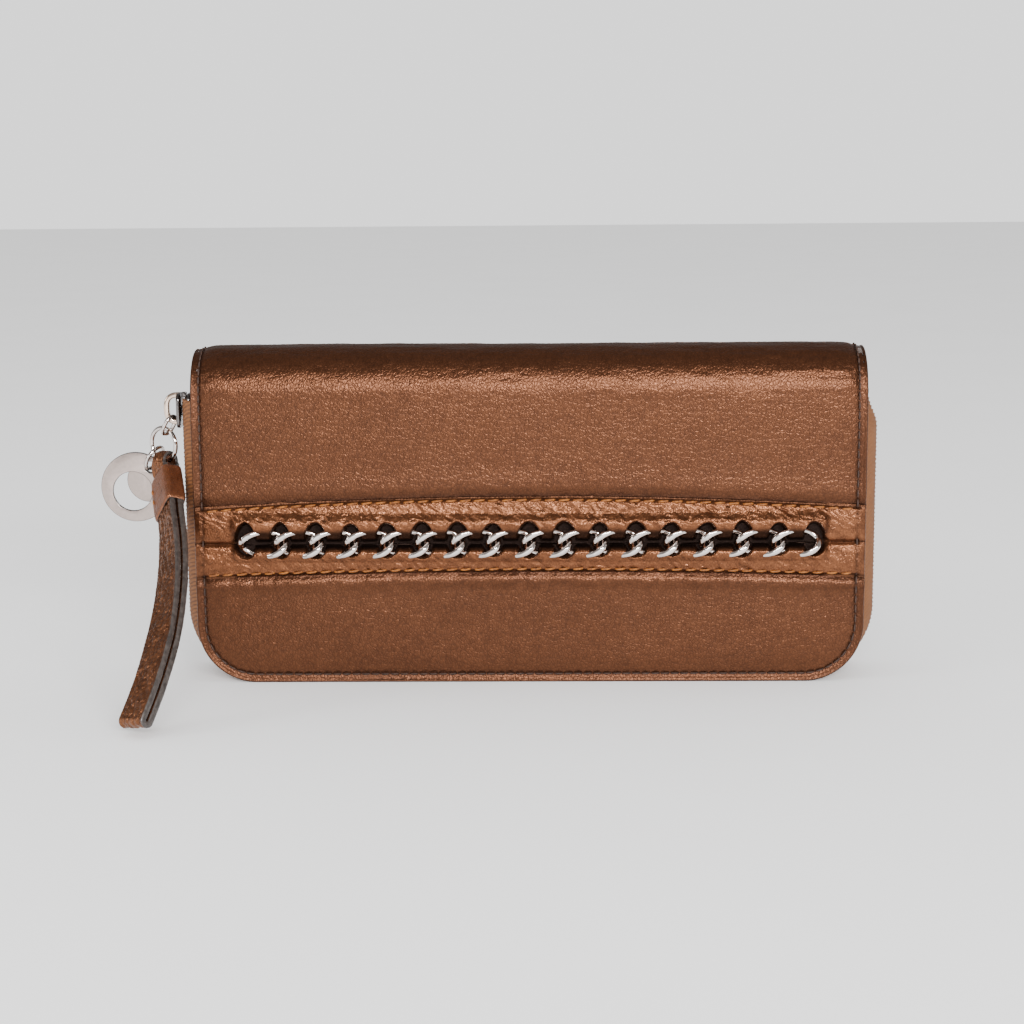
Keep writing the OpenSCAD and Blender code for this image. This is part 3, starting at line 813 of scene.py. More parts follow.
def opening(x, z):
    """1 on the solid leather, 0 in the rounded openings where neighbouring links meet."""
    d = np.min(np.abs(x[..., None] - GAP_X), axis=-1)
    r = z - BAND_Z
    wide = 3.2 + 0.35 * value_noise(x / 7.0, z * 0 + 3, 91)
    tall = np.where(r > 0, 5.9, 3.7) + 0.4 * value_noise(x / 5.0, z * 0 + 8, 92)
    reach = np.hypot(d / wide, r / tall)
    return smooth(0.86, 1.16, reach)


def slot_end(x):
    """1 beyond the ends of the slot, 0 along it."""
    return smooth(SLOT_END - 0.9, SLOT_END + 1.3, np.abs(x))


def flap_height(x, z, up):
    """How far a flap stands out of the cover's face at x and height z, and its painted shade.

    up is 1 for the upper flap and -1 for the lower one.
    """
    seam = bow_hi(x) if up > 0 else bow_lo(x)
    span = np.abs(seam - BAND_Z)
    r = np.clip((z - BAND_Z) * up, 0, None)
    share = r / span
    if up > 0:
        crest, low_side, high_side, tall = 5.3, 3.0, 3.3, 2.6
    else:
        crest, low_side, high_side, tall = 2.7, 1.4, 3.0, 1.8
    roll = tall * np.exp(-((np.abs(r - crest) / np.where(r < crest, low_side, high_side)) ** 2.4))
    body = 0.9 * np.clip(np.sin(math.pi * np.clip(share, 0, 1)), 0, 1) ** 0.8
    over = np.maximum(roll, body * smooth(crest, crest + 2, r))
    over = over - 1.3 * (1 - smooth(0.3, 1.7, r))
    m = np.maximum(opening(x, z), slot_end(x))
    ends = slot_end(x)
    flat = 0.35 + 0.35 * np.sin(math.pi * np.clip(share, 0, 1)) - 0.75 * bell(r, 0.7)
    h = FLOOR_OFF * (1 - m) + over * m
    h = h * (1 - ends) + flat * ends
    h = h - 0.75 * smooth(0.90, 1.0, share)
    # wrinkles run from every opening up and to the left into the seam
    lean = x + 1.25 * r if up > 0 else x - 0.6 * r
    bend = 0.8 * value_noise(x / 3.4, r / 2.6, 44 + up)
    rays = value_noise(lean / 2.1 + bend, r / 3.4 - lean / 9.0 + bend, 41 + up)
    small = value_noise(lean / 0.95 + 1.6 * bend, r / 1.3 + bend, 42 + up)
    ridge = 0.7 * (1 - 2 * np.abs(rays)) + 0.45 * (1 - 2 * np.abs(small))
    zone = smooth(crest - 0.4, crest + 1.6, r) * smooth(1.0, 0.9, share)
    strength = (0.33 if up > 0 else 0.18) * (1 - 0.55 * ends)
    h = h + zone * strength * ridge + 0.10 * m * bell(r, 1.5, crest) * small
    # painted shade: the slit, the inside of the roll and the openings down to the chain are darkened, and
    # the slit line beyond the slot's ends
    inside = 1 - smooth(crest - 2.3, crest - 0.5, r)
    slit = 1 - smooth(1.0, 2.4, r)
    shut = np.maximum(np.maximum(1 - m, slit), inside * 0.82)
    dark = np.maximum((1 - ends) * shut, 0.5 * ends * bell(r, 0.5))
    # painted shade in the wrinkles' valleys and along the seam
    dark = dark + zone * 0.35 * np.clip(-ridge, 0, 1) + 0.5 * bell(share, 0.05, 1.0)
    return h, np.clip(dark, 0, 1)


def make_flap(name, up):
    """One folded flap of the band, from its crest over the chain to its seam."""
    middle = np.arange(-HALF_W + 1.7, HALF_W - 1.6, FLAP_STEP)
    xs = np.concatenate([-HALF_W + np.array(FINE_D), middle, (HALF_W - np.array(FINE_D))[::-1]])
    v = np.linspace(0, 1.0, FLAP_ROWS)
    x, k = np.meshgrid(xs, v, indexing="ij")
    seam = bow_hi(x) if up > 0 else bow_lo(x)
    slot = 1 - slot_end(x)
    wobble = 0.22 * value_noise(x / 6.0, x * 0 + up, 88) * slot - 0.45 * slot
    z = BAND_Z + wobble + (seam + 0.5 * up - BAND_Z - wobble) * k
    h, dark = flap_height(x, z, up)
    d = HALF_W - np.abs(x)
    h = h * smooth(0, 2.5, d) - rounding(d) + stitch_groove(d, z) * smooth(0, 1, d)
    # painted shade along the edge stitches and the cut edge
    at_stitches, at_cut = edge_shade(d)
    dark = dark + at_stitches + at_cut
    deep = np.clip(h - FLAP_T, FLOOR_OFF - 0.68, -LEATHER_T + 0.1)
    deep = np.minimum(deep, h - 0.25)
    deep = np.where(d < EDGE_R, np.minimum(-LEATHER_T + rounding(d), h), deep)
    outer = np.stack([x, -HALF_T - h, z], -1)
    inner = np.stack([x, -HALF_T - deep, z], -1)
    return shell(name, outer, inner, [MAT["band"]], dark)


flap_up = make_flap("band_upper_leather", 1)
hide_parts("band_upper_flap")
flap_low = make_flap("band_lower_leather", -1)
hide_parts("band_lower_flap")


def curb_link(cx):
    """A flat oval link, twisted so that it lies against its neighbours."""
    count = 72
    t = 2 * math.pi * (np.arange(count) + 0.5) / count
    c, s = squared(np.cos(t), 0.85), LINK_B * squared(np.sin(t), 0.85)
    turn = TWIST * c
    path = np.stack([cx + LINK_A * c, CHAIN_Y + s * np.sin(turn), BAND_Z + s * np.cos(turn)], -1)
    points, faces = sweep(path, WIRE / 2, 16, closed=True)
    # curb links are ground flat on their faces
    depth = points[:, 1] - CHAIN_Y
    ground = np.sign(depth) * (GROUND_AT + 0.12 * (np.abs(depth) - GROUND_AT))
    points[:, 1] = CHAIN_Y + np.where(np.abs(depth) > GROUND_AT, ground, depth)
    return points, faces


chain = make_object("curb_chain", *joined([curb_link(cx) for cx in LINK_X]), [MAT["chrome"]])
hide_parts("front_chain")

# ---------- stitches ----------


def stitch(start, end, out, radius, sink, slant=0.0):
    """One stitch: it rises out of its hole, lies on the leather and dives into the next."""
    start, end, out = (np.asarray(v, float) for v in (start, end, out))
    across = np.cross(out, end - start)
    across /= np.linalg.norm(across)
    k = np.linspace(0, 1, 9)[:, None]
    lift = np.sin(math.pi * np.clip(k, 0, 1)) ** 0.5 * (radius * 0.75 + sink) - sink
    path = start + (end - start) * k + out * lift + across * slant * (k - 0.5)
    thick = radius * (0.72 + 0.28 * np.sin(math.pi * k[:, 0]) ** 0.4)
    return sweep(path, thick, 7, ply=0.10, twist=7.0, up_hint=out)


def stitch_row(places, outs, gap, radius, sink, slant=0.0):
    """Stitches between successive places along a seam."""
    parts = []
    for i in range(len(places) - 1):
        a, b = places[i], places[i + 1]
        out = outs[i] + outs[i + 1]
        out = out / np.linalg.norm(out)
        step = b - a
        parts.append(stitch(a + step * gap, b - step * gap, out, radius, sink, slant))
    return parts


def even(points, pitch):
    """Points at an even pitch along a polyline."""
    points = np.asarray(points, float)
    length = run_length(points)
    count = max(2, int(round(length[-1] / pitch)) + 1)
    at = np.linspace(0, length[-1], count)
    return np.stack([np.interp(at, length, points[:, k]) for k in range(points.shape[1])], -1)


def lift_at(side, xt, extra):
    """Places on the leather's surface and their outward directions."""
    x, t = xt[:, 0], xt[:, 1]
    off = spine_pull(x, t) - 0.16 + extra(x, t)
    p = on_cover(side, x, t, off)
    a = np.clip((t - SHOULDER) / SPINE_R, 0, None)
    n = np.stack([x * 0, side * np.cos(a), np.where(t < SHOULDER, 0, np.sin(a))], -1)
    return p, n


def edge_run():
    """The edge stitch line in x and t, from the top of the spine down, round and up again."""
    r = CORNER_R - STITCH_IN
    h = HALF_W - STITCH_IN
    cx = HALF_W - CORNER_R
    left = [(-h, t) for t in np.linspace(TOP_T - 0.7, CORNER_R, 60)]
    turn = np.linspace(0, math.pi / 2, 24)
    arc = [(-cx - r * math.cos(a), CORNER_R - r * math.sin(a)) for a in turn]
    arc2 = [(cx + r * math.sin(a), CORNER_R - r * math.cos(a)) for a in turn]
    right = [(h, t) for t in np.linspace(CORNER_R, TOP_T - 0.7, 60)]
    return left + arc + arc2 + right


def band_lift(x, t):
    return np.where((t < bow_hi(x)) & (t > bow_lo(x)), 0.1, 0.0)


def no_lift(x, t):
    return 0 * x


edge_places = even(edge_run(), STITCH_PITCH)
for side, name, lift, hinge in (
    (-1, "front_edge_stitches", band_lift, FRONT_HINGE),
    (1, "back_edge_stitches", no_lift, BACK_HINGE),
):
    parts = stitch_row(*lift_at(side, edge_places, lift), 0.09, 0.25, 0.3)
    obj = make_object(name, *joined(parts), [MAT["brown_thread"]])
    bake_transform(obj)


def seam_stitches(name, bow, up):
    """Golden stitches along one seam of the band, 4 mm apart."""
    half, count = 92.6, 47
    xs = np.linspace(-half, half, count)
    z = bow(xs) - up * 0.75
    h = np.maximum(flap_height(xs, z, up)[0], 0.15)
    places = np.stack([xs, -HALF_T - h - 0.12, z], -1)
    outs = np.tile(np.array([0.0, -1.0, 0.1 * up]), (count, 1))
    parts = stitch_row(places, outs, 0.13, 0.33, 0.55, slant=0.3)
    obj = make_object(name, *joined(parts), [MAT["gold_thread"]])
    attach(obj, "bronze_leather", "front_cover")


seam_stitches("upper_band_stitches", bow_hi, 1)
seam_stitches("lower_band_stitches", bow_lo, -1)

for obj in (front_lower, flap_up, flap_low):
    attach(obj, "bronze_leather", "front_cover")
attach(chain, "gunmetal", "front_cover")
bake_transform(front_upper)
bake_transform(back_leather)

# ---------- zip ----------

COIL_X, COIL_HALF, COIL_TOP = node_box("back_zip_coil")[1]
COIL_T = 1.4
COIL_PITCH = 1.2
COIL_CORNER = CORNER_R + 3
COIL_MID = COIL_X - COIL_T / 2
TAPE_Y = node_box("back_zip_tape")[1][1]
TAPE_COUNT = 620
TAPE_HALF_T = 0.36
TOOTH_TURN = np.linspace(0, 2 * math.pi, 13)[:-1]


def u_path(half, low, r, top, step):
    """Points [x, z, out x, out z] down the left side, round the corners and up the right."""
    rows = [(-half, z, -1, 0) for z in np.linspace(top, low + r, int((top - low - r) / step) + 1)]
    for first, cx in ((math.pi, -half + r), (1.5 * math.pi, half - r)):
        if first > 4:
            n = int(2 * (half - r) / step)
            rows += [(x, low, 0, -1) for x in np.linspace(-half + r, half - r, n)[1:-1]]
        for a in np.linspace(first, first + math.pi / 2, int(r * 1.57 / step) + 2):
            rows.append((cx + r * math.cos(a), low + r + r * math.sin(a), math.cos(a), math.sin(a)))
    rows += [(half, z, 1, 0) for z in np.linspace(low + r, top, int((top - low - r) / step) + 1)]
    rows = np.array(rows)
    keep = np.concatenate([[True], np.hypot(*np.diff(rows[:, :2], axis=0).T) > 1e-4])
    return rows[keep]


def tuck(x, z):
    """The right-hand end of the zip comes out from under the leather below its top."""
    return x - np.sign(x) * 2.6 * smooth(COIL_TOP - 9, COIL_TOP, z) * (x > 0)


def resample_u(path, count):
    """The same path with count even points, and their runs."""
    length = np.concatenate([[0], np.cumsum(np.hypot(*np.diff(path[:, :2], axis=0).T))])
    at = np.linspace(0, length[-1], count)
    out = np.stack([np.interp(at, length, path[:, k]) for k in range(4)], -1)
    out[:, 2:] /= np.linalg.norm(out[:, 2:], axis=1)[:, None]
    return out, at


def make_tape(name, side):
    """One half of the zip tape, ribbed, from under the leather's edge to the coil."""
    edge, at = resample_u(u_path(HALF_W - 1, 1, CORNER_R - 1, COIL_TOP, 1.0), TAPE_COUNT)
    coil_run = u_path(COIL_MID, COIL_T / 2, COIL_CORNER - COIL_T / 2, COIL_TOP, 1.0)
    run, _ = resample_u(coil_run, TAPE_COUNT)
    s = np.linspace(0, 1, 26)
    lift = np.sin(math.pi / 2 * s)[None, :]
    y = TAPE_Y + (COIL_HALF + 0.05 - TAPE_Y) * s[None, :]
    tilt = at[:, None] * 2 * math.pi / 1.7 + s[None, :] * 9.0
    rib = 0.09 * np.sin(tilt) * smooth(0.0, 0.15, s)[None, :]
    slack = 0.22 * value_noise(at[:, None] / 11.0, s[None, :] * 2.0, 31 + side)
    off = rib + slack * np.sin(math.pi * s)[None, :]
    grids = []
    for t in (TAPE_HALF_T, -TAPE_HALF_T):
        o = off * (1 if t > 0 else 0.3) + t
        x, z = (
            edge[:, None, k] + (run[:, None, k] - edge[:, None, k]) * lift + edge[:, None, k + 2] * o
            for k in (0, 1)
        )
        x = tuck(x, z)
        grids.append(np.stack([x, np.broadcast_to(side * y, x.shape), z], -1))
    obj = shell(name, *grids, [MAT["tape"]])
    return obj


def make_coil(name, side):
    """Coil teeth on one half: each is a rounded loop that stands up to the split."""
    path = u_path(COIL_MID, COIL_T / 2, COIL_CORNER - COIL_T / 2, COIL_TOP - 0.7, 0.4)
    path[:, 0] = tuck(path[:, 0], path[:, 1])
    length = np.hypot(*np.diff(path[:, :2], axis=0).T).sum()
    places, _ = resample_u(path, int(length / COIL_PITCH))
    parts = []
    a = TOOTH_TURN
    phase = 0.0 if side > 0 else 0.5
    for i in range(len(places) - 1):
        p = places[i] * (1 - phase) + places[i + 1] * phase
        along = np.array([-p[3], 0, p[2]])
        out = np.array([p[2], 0, p[3]])
        c = np.array([p[0], side * 0.86, p[1]])
        wide = squared(np.cos(a), 0.7) * 0.44
        tall = squared(np.sin(a), 0.7) * 0.56
        loop = c + wide[:, None] * np.array([0, side, 0]) + tall[:, None] * out
        loop = loop + along * (0.16 * np.sin(a))[:, None]
        parts.append(sweep(loop, 0.27, 6, closed=True))
    # the cord that the teeth are sewn along
    core_x, core_z = (path[:, k] + 0.2 * path[:, k + 2] for k in (0, 1))
    core = np.stack([core_x, np.full(len(path), side * 1.55), core_z], -1)
    parts.append(sweep(core, 0.30, 6, ply=0.12, twist=4.0))
    return make_object(name, *joined(parts), [MAT["coil"]])


for side, which in ((-1, "front"), (1, "back")):
    tape = make_tape(f"{which}_tape_cloth", side)
    coil = make_coil(f"{which}_coil_teeth", side)
    for obj, slot in ((tape, "zip_tape"), (coil, "zip_coil")):
        attach(obj, slot, f"{which}_cover", f"{which}_{slot}")

# ---------- slider, rings and charms ----------


def refit(node, materials, bevel, segments=3, choose=None):
    """A finished copy of a CAD solid: rounded edges and a material for each kind of face."""
    source = frame["nodes"][node]
    mesh = source.data.copy()
    mesh.materials.clear()
    for m in materials:
        mesh.materials.append(m)
    bm = bmesh.new()
    bm.from_mesh(mesh)
    bmesh.ops.remove_doubles(bm, verts=bm.verts, dist=0.002 * MM)
    bmesh.ops.dissolve_limit(bm, angle_limit=math.radians(1.0), verts=bm.verts, edges=bm.edges)
    for f in bm.faces:
        f.smooth = True
        f.material_index = choose(f.normal) if choose else 0
    bm.to_mesh(mesh)
    bm.free()
    obj = bpy.data.objects.new(f"{node}_finish", mesh)
    bpy.context.scene.collection.objects.link(obj)
    if bevel:
        mod = obj.modifiers.new("soft_edges", "BEVEL")
        mod.width = bevel * MM
        mod.segments = segments
        mod.limit_method = "ANGLE"
        mod.angle_limit = math.radians(35)
        mod.harden_normals = True
        mod.material = 1 if len(materials) > 1 else -1
    subparts = frame["record"]["subparts"]
    slot = next(s["material_slot"] for s in subparts if s["node"] == node)
    attach(obj, slot, source["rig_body"], node)
    return obj


def flat_face(normal):
    """Material 0 on the two faces of a charm, 1 on its rim, whose dark colour is a painted reflection."""
    return 0 if abs(normal.y) > 0.9 else 1


for node in ("ring_charm", "disc_charm"):
    refit(node, [MAT["satin"], MAT["rim_painted_dark"]], 0.16, 3, flat_face)
refit("slider_body", [MAT["dark_metal"]], 0.22, 3)
stops = refit("zip_stops", [MAT["dark_metal"]], 0.25, 3)
for v in stops.data.vertices:
    v.co.x = float(tuck(np.array(v.co.x / MM), np.array(v.co.z / MM))) * MM
for node in ("coin_slider", "coin_puller"):
    refit(node, [MAT["chrome"]], 0.15, 2)

ARCH_LO, ARCH_HI = node_box("slider_arch")


def make_arch():
    """A flat polished band that rises out of the slider and turns back down to it."""
    thick, wide = 0.8, (ARCH_HI[1] - ARCH_LO[1]) / 2
    sides = 20
    foot = ARCH_HI[0]
    z0, z1 = ARCH_LO[2] + thick, ARCH_HI[2] - thick
    reach = ARCH_HI[0] - ARCH_LO[0] - thick
    mid, h = (z0 + z1) / 2, (z1 - z0) / 2
    a = np.linspace(-math.pi / 2, math.pi / 2, 40)
    bulge = 0.72
    x = foot - reach * np.sign(np.cos(a)) * np.abs(np.cos(a)) ** bulge
    z = mid + h * np.sign(np.sin(a)) * np.abs(np.sin(a)) ** bulge
    path = np.stack([x, 0 * x, z], -1)
    path = np.concatenate([[[foot + 0.5, 0, z0]], path, [[foot + 0.5, 0, z1]]])
    tangent = np.gradient(path, axis=0)
    tangent /= np.linalg.norm(tangent, axis=1)[:, None]
    n = len(path)
    out = np.stack([-tangent[:, 2], np.zeros(n), tangent[:, 0]], -1)[:, None, :]
    b = np.linspace(0, 2 * math.pi, sides, endpoint=False)
    cw = (squared(np.cos(b), 0.55) * wide)[None, :, None]
    ct = (squared(np.sin(b), 0.7) * thick)[None, :, None]
    ring = path[:, None, :] + cw * np.array([0, 1.0, 0]) + ct * out
    faces = grid_faces(n, sides, loop_v=True).tolist()
    faces += [list(range(sides)), [(n - 1) * sides + j for j in range(sides - 1, -1, -1)]]
    obj = make_object("slider_arch_band", ring.reshape(-1, 3), faces, [MAT["pale_gold"]])
    fix_normals(obj)
    attach(obj, "satin_nickel", "slider", "slider_arch")


make_arch()
for node in ("connecting_link", "strap_ring", "charm_link"):
    refit(node, [MAT["chrome"]], 0)

# ---------- strap ----------

STRAP = {
    "top": np.array([-106.14, 0.72, 63.05]),
    "mid": np.array([-106.5, -2.0, 52.5]),
    "fore": np.array([-90.0, -42.0, 38.0]),
    "end": np.array([-103.0, -67.5, 4.3]),
}
STRAP_W = 10.0
STRAP_T = 2.0
STRAP_GAP = 0.5
STRAP_STEPS = 300
STRAP_NECK = 0.1  # share of the length over which it widens out of the ring
NECK_HALF_W = 2.4
NECK_T = 1.2
LOOP_R = 2.5
LOOP_STEPS = 14
PAINT_IN = 0.3


def strap_turn(s):
    """Twist of the strap in degrees at share s."""
    if s < STRAP_NECK:
        return 35 + 270 * s
    return 62 if s < 0.4 else 62 - 24 * min(1, (s - 0.4) / 0.4)


def strap_frame(s):
    """Place, direction, across and outward vectors of the strap's middle at share s of a Bezier."""
    top, mid, fore, end = (STRAP[k] for k in ("top", "mid", "fore", "end"))
    u = 1 - s
    place = u**3 * top + 3 * s * u**2 * mid + 3 * s * s * u * fore + s**3 * end
    t = u**2 * (mid - top) + 2 * s * u * (fore - mid) + s * s * (end - fore)
    t = t / np.linalg.norm(t)
    a = np.array([1.0, 0, 0]) - t[0] * t
    a /= np.linalg.norm(a)
    b = np.cross(t, a)
    turn = math.radians(strap_turn(s))
    w = math.cos(turn) * a + math.sin(turn) * b
    return place, t, w, np.cross(w, t)


def strap_half_gap(s):
    """Half the distance between the middles of the two layers."""
    flat = (STRAP_T + STRAP_GAP) / 2
    if s < STRAP_NECK:
        return flat + (LOOP_R - flat) * math.cos(math.radians(900 * s))
    return flat


def strap_section(half_w, t):
    """Across, out and kind (1 is painted edge) round the section of one layer."""
    flat_w = half_w - PAINT_IN
    across, out, kind = [], [], []
    for sgn, count, crown in ((1, 29, 0.10), (-1, 17, 0.06)):
        for a in np.linspace(-sgn, sgn, count):
            across.append(a * flat_w)
            out.append(sgn * (t / 2 - crown * abs(a) ** 3))
            kind.append(0)
        for a in np.radians([60, 30, 0, -30, -60]) * sgn:
            across.append(sgn * (flat_w + PAINT_IN * math.cos(a)))
            out.append((t / 2 - 0.14) * math.sin(a))
            kind.append(1)
    return np.array(across), np.array(out), np.array(kind)


def make_strap():
    """The doubled strap: one closed loop down the front, round the end, up the back, over the ring."""
    stations = []
    for face, shares in ((1, range(STRAP_STEPS + 1)), (-1, range(STRAP_STEPS, -1, -1))):
        for i in shares:
            s = i / STRAP_STEPS
            p, t, w, n = strap_frame(s)
            stations.append((p + face * strap_half_gap(s) * n, w, face * n, s))
        for i in range(1, LOOP_STEPS):
            a = math.pi * i / LOOP_STEPS
            d = face * (math.cos(a) * n + math.sin(a) * t)
            stations.append((p + strap_half_gap(s) * d, w, d, s))
    rows, run = [], 0.0
    last = stations[0][0]
    for p, w, n, s in stations:
        run += np.linalg.norm(p - last)
        last = p
        half_w = NECK_HALF_W + (STRAP_W / 2 - NECK_HALF_W) * min(1, 8 * s)
        t = NECK_T + (STRAP_T - NECK_T) * s * 10 if s < STRAP_NECK else STRAP_T
        across, out, kind = strap_section(half_w, t)
        face = (kind == 0) & (out > 0)
        bumpy = 0.34 * (pebbles(across, across * 0 + run, 71, 1.9, 0.75) - 0.75)
        bumpy += 0.26 * layered(across / 5 + run / 40, across * 0 + run / 4.2, 73, 3) - 0.06
        rim = np.clip((half_w - np.abs(across)) / 1.2, 0, 1)
        out = out + np.where(face, bumpy * rim, 0)
        rows.append(p + across[:, None] * w + out[:, None] * n)
    ring = np.array(rows)
    nu, nv = ring.shape[:2]
    faces = grid_faces(nu, nv, loop_u=True, loop_v=True)
    col = np.arange(len(faces)) % nv
    paint = (kind[col] == 1) | (kind[(col + 1) % nv] == 1)
    mats = [MAT["strap"], MAT["edge"]]
    obj = make_object("wrist_strap_leather", ring.reshape(-1, 3), faces, mats, paint.astype(int))
    fix_normals(obj, 0.0001)
    attach(obj, "strap_leather", "strap", "wrist_strap")


make_strap()


def make_keeper():
    """A leather band round both layers, its joint sewn with two gold stitches."""
    s0, s1 = 2 / 18, 6 / 18
    rows = []
    half_y = (STRAP_T + STRAP_GAP) / 2 + STRAP_T / 2
    steps, sides = 44, 128
    a = np.linspace(0, 2 * math.pi, sides, endpoint=False)
    for layer in (0, 1):
        for i in range(steps + 1):
            k = i / steps
            s = s0 + (s1 - s0) * (k if layer == 0 else 1 - k)
            p, t, w, n = strap_frame(s)
            grow = 0.12
            if layer == 0:
                grow = 0.86 - 0.5 * (1 - math.sqrt(max(0, 1 - (2 * k - 1) ** 8)))
            ax = squared(np.cos(a), 0.34) * (STRAP_W / 2 + grow)
            ay = squared(np.sin(a), 0.34) * (half_y + grow)
            if layer == 0:
                arch = math.sin(math.pi * k)
                soft_bump = 0.10 * layered(a * 3, a * 0 + k * 3, 81, 2) * arch
                grain = 0.09 * (pebbles(a * 6, a * 0 + k * 9, 83, 1.3) - 0.6) * arch
                ax, ay = ax * (1 + soft_bump * 0.03), ay * (1 + soft_bump * 0.1 + grain / half_y)
            rows.append(p + ax[:, None] * w + ay[:, None] * n)
    ring = np.array(rows)
    nu, nv = ring.shape[:2]
    faces = grid_faces(nu, nv, loop_u=True, loop_v=True)
    kind = np.zeros(nu)
    kind[[0, steps, steps + 1, nu - 1]] = 1
    row = np.arange(len(faces)) // nv
    paint = (kind[row] == 1) & (kind[(row + 1) % nu] == 1)
    mats = [MAT["keeper"], MAT["edge"]]
    obj = make_object("keeper_leather", ring.reshape(-1, 3), faces, mats, paint.astype(int))
    fix_normals(obj, 0.0001)
    attach(obj, "bronze_leather", "strap", "strap_keeper")
    parts = []
    for k in (0.35, 0.62):
        s = s0 + (s1 - s0) * k
        p, t, w, n = strap_frame(s)
        for sgn in (1, -1):
            base = p - (STRAP_W / 2 - 1.2) * w + sgn * (half_y + 0.80) * n
            parts.append(stitch(base - 0.9 * t, base + 0.9 * t, sgn * n, 0.28, 0.25))
    obj = make_object("keeper_stitches", *joined(parts), [MAT["gold_thread"]])
    attach(obj, "strap_leather", "strap")


make_keeper()

# ---------- inside ----------

MOUTH_SEAM = 2.2


def outline_grid(inset, z_low, z_high, nx, nz):
    """x and z of a grid over a cover layer, with rounded lower corners if it reaches them."""
    r = CORNER_R - inset
    if z_low < CORNER_R - 0.01:
        start = math.acos(np.clip((CORNER_R - z_low) / r, -1, 1))
        arc = [CORNER_R - r * math.cos(a) for a in np.linspace(start, math.pi / 2, 14)]
        rows = np.concatenate([arc, np.linspace(CORNER_R, z_high, nz)[1:]])
    else:
        rows = np.linspace(z_low, z_high, nz)
    low = np.clip((CORNER_R - rows) / r, 0, 1)
    half = HALF_W - CORNER_R + r * np.sqrt(1 - low**2)
    ends = np.array([0, 0.15, 0.4, 0.8, 1.3])
    left = [-(half - d) for d in ends]
    middle = [(half - 2.0) * k for k in np.linspace(-1, 1, nx)]
    right = [half - d for d in ends[::-1]]
    x = np.stack([*left, *middle, *right], -1)
    return x, np.broadcast_to(rows[:, None], x.shape).copy()


def inner_layer(which, part, inset, seed, wave):
    """A flat layer inside a cover: a lining, or a card pocket with its rolled, stitched mouth."""
    node, body = f"{which}_{part}", f"{which}_cover"
    mouth = part != "lining"
    slot = "inner_leather" if mouth else "lining"
    lo, hi = node_box(node)
    side = -1 if hi[1] < 0 else 1
    face, back = (lo[1], hi[1]) if side > 0 else (hi[1], lo[1])
    thick = abs(back - face)
    x, z = outline_grid(inset, lo[2], hi[2], 90, max(10, int((hi[2] - lo[2]) / 2.0)))
    d_low = z - lo[2]
    d_edge = (HALF_W - inset) - np.abs(x)
    slack = wave * layered(x / 34, z / 21, seed, 2) * smooth(0, 6, np.minimum(d_edge, hi[2] - z))
    slack = np.clip(slack, -wave * 0.4, wave)
    lip = 0.10 * bell(d_low, 1.4) - 0.06 * bell(d_low, 0.5, MOUTH_SEAM) if mouth else 0
    fine = 0.012 * (pebbles(x, z, seed, 1.2, 1.0) - 0.5)
    top = (slack + lip + fine) * (0.6 if mouth else 1.0)
    rim = 0.3 * thick * (1 - smooth(0, 0.5, np.minimum(d_edge, d_low)))
    outer = np.stack([x, face - side * (top - rim), z], -1)
    inner = np.stack([x, back + 0 * x, z], -1)
    kind, material = ("leather", "inner") if mouth else ("cloth", "lining")
    obj = shell(f"{node}_{kind}", outer, inner, [MAT[material]])
    r = CORNER_R - inset
    attach(obj, slot, body, node)
    if mouth:
        low = max(0, (CORNER_R - lo[2] - MOUTH_SEAM) / r)
        width = HALF_W - CORNER_R + r * math.sqrt(max(0, 1 - low**2)) - 3
        xs = np.linspace(-width, width, 74)
        places = np.stack([xs, 0 * xs + face - side * 0.02, 0 * xs + lo[2] + MOUTH_SEAM], -1)
        outs = np.tile(np.array([0.0, -side, 0.0]), (len(xs), 1))
        parts = stitch_row(places, outs, 0.12, 0.13, 0.12)
        seam = make_object(f"{node}_stitches", *joined(parts), [MAT["tan_thread"]])
        attach(seam, slot, body)


for which in ("front", "back"):
    inner_layer(which, "lining", 2.2, 101, 0.05)
    for i in (1, 2, 3, 4):
        inner_layer(which, f"card_pocket_{i}", 5, 110 + i, 0.04)
    board = frame["nodes"][f"{which}_board"]
    board.data.materials.clear()
    board.data.materials.append(MAT["board"])


def make_spine_lining():
    """The spine's lining: an arched sheet with fine folds along it."""
    top = node_box("spine_lining")[1]
    r_in, r_out = 10.65, top[2] - SHOULDER
    x, b = np.meshgrid(
        np.linspace(-top[0], top[0], 120), np.linspace(0, math.pi, 60), indexing="ij"
    )
    fold = np.clip(0.10 * value_noise(b * 9, x / 30, 131), -0.08, 0.08)
    grids = []
    for r in (r_in + 0.02 + fold, r_out - 0.02):
        grids.append(np.stack([x, r * np.cos(b), SHOULDER + r * np.sin(b)], -1))
    obj = shell("spine_lining_cloth", *grids, [MAT["lining"]])
    attach(obj, "lining", "spine", "spine_lining")


make_spine_lining()

refit("spine_end_tabs", [MAT["bronze"]], 0.25)
refit("coin_pocket", [MAT["inner"]], 0.25)

CT_LO, CT_HI = node_box("coin_zip_tape")
CC_LO, CC_HI = node_box("coin_zip_coil")


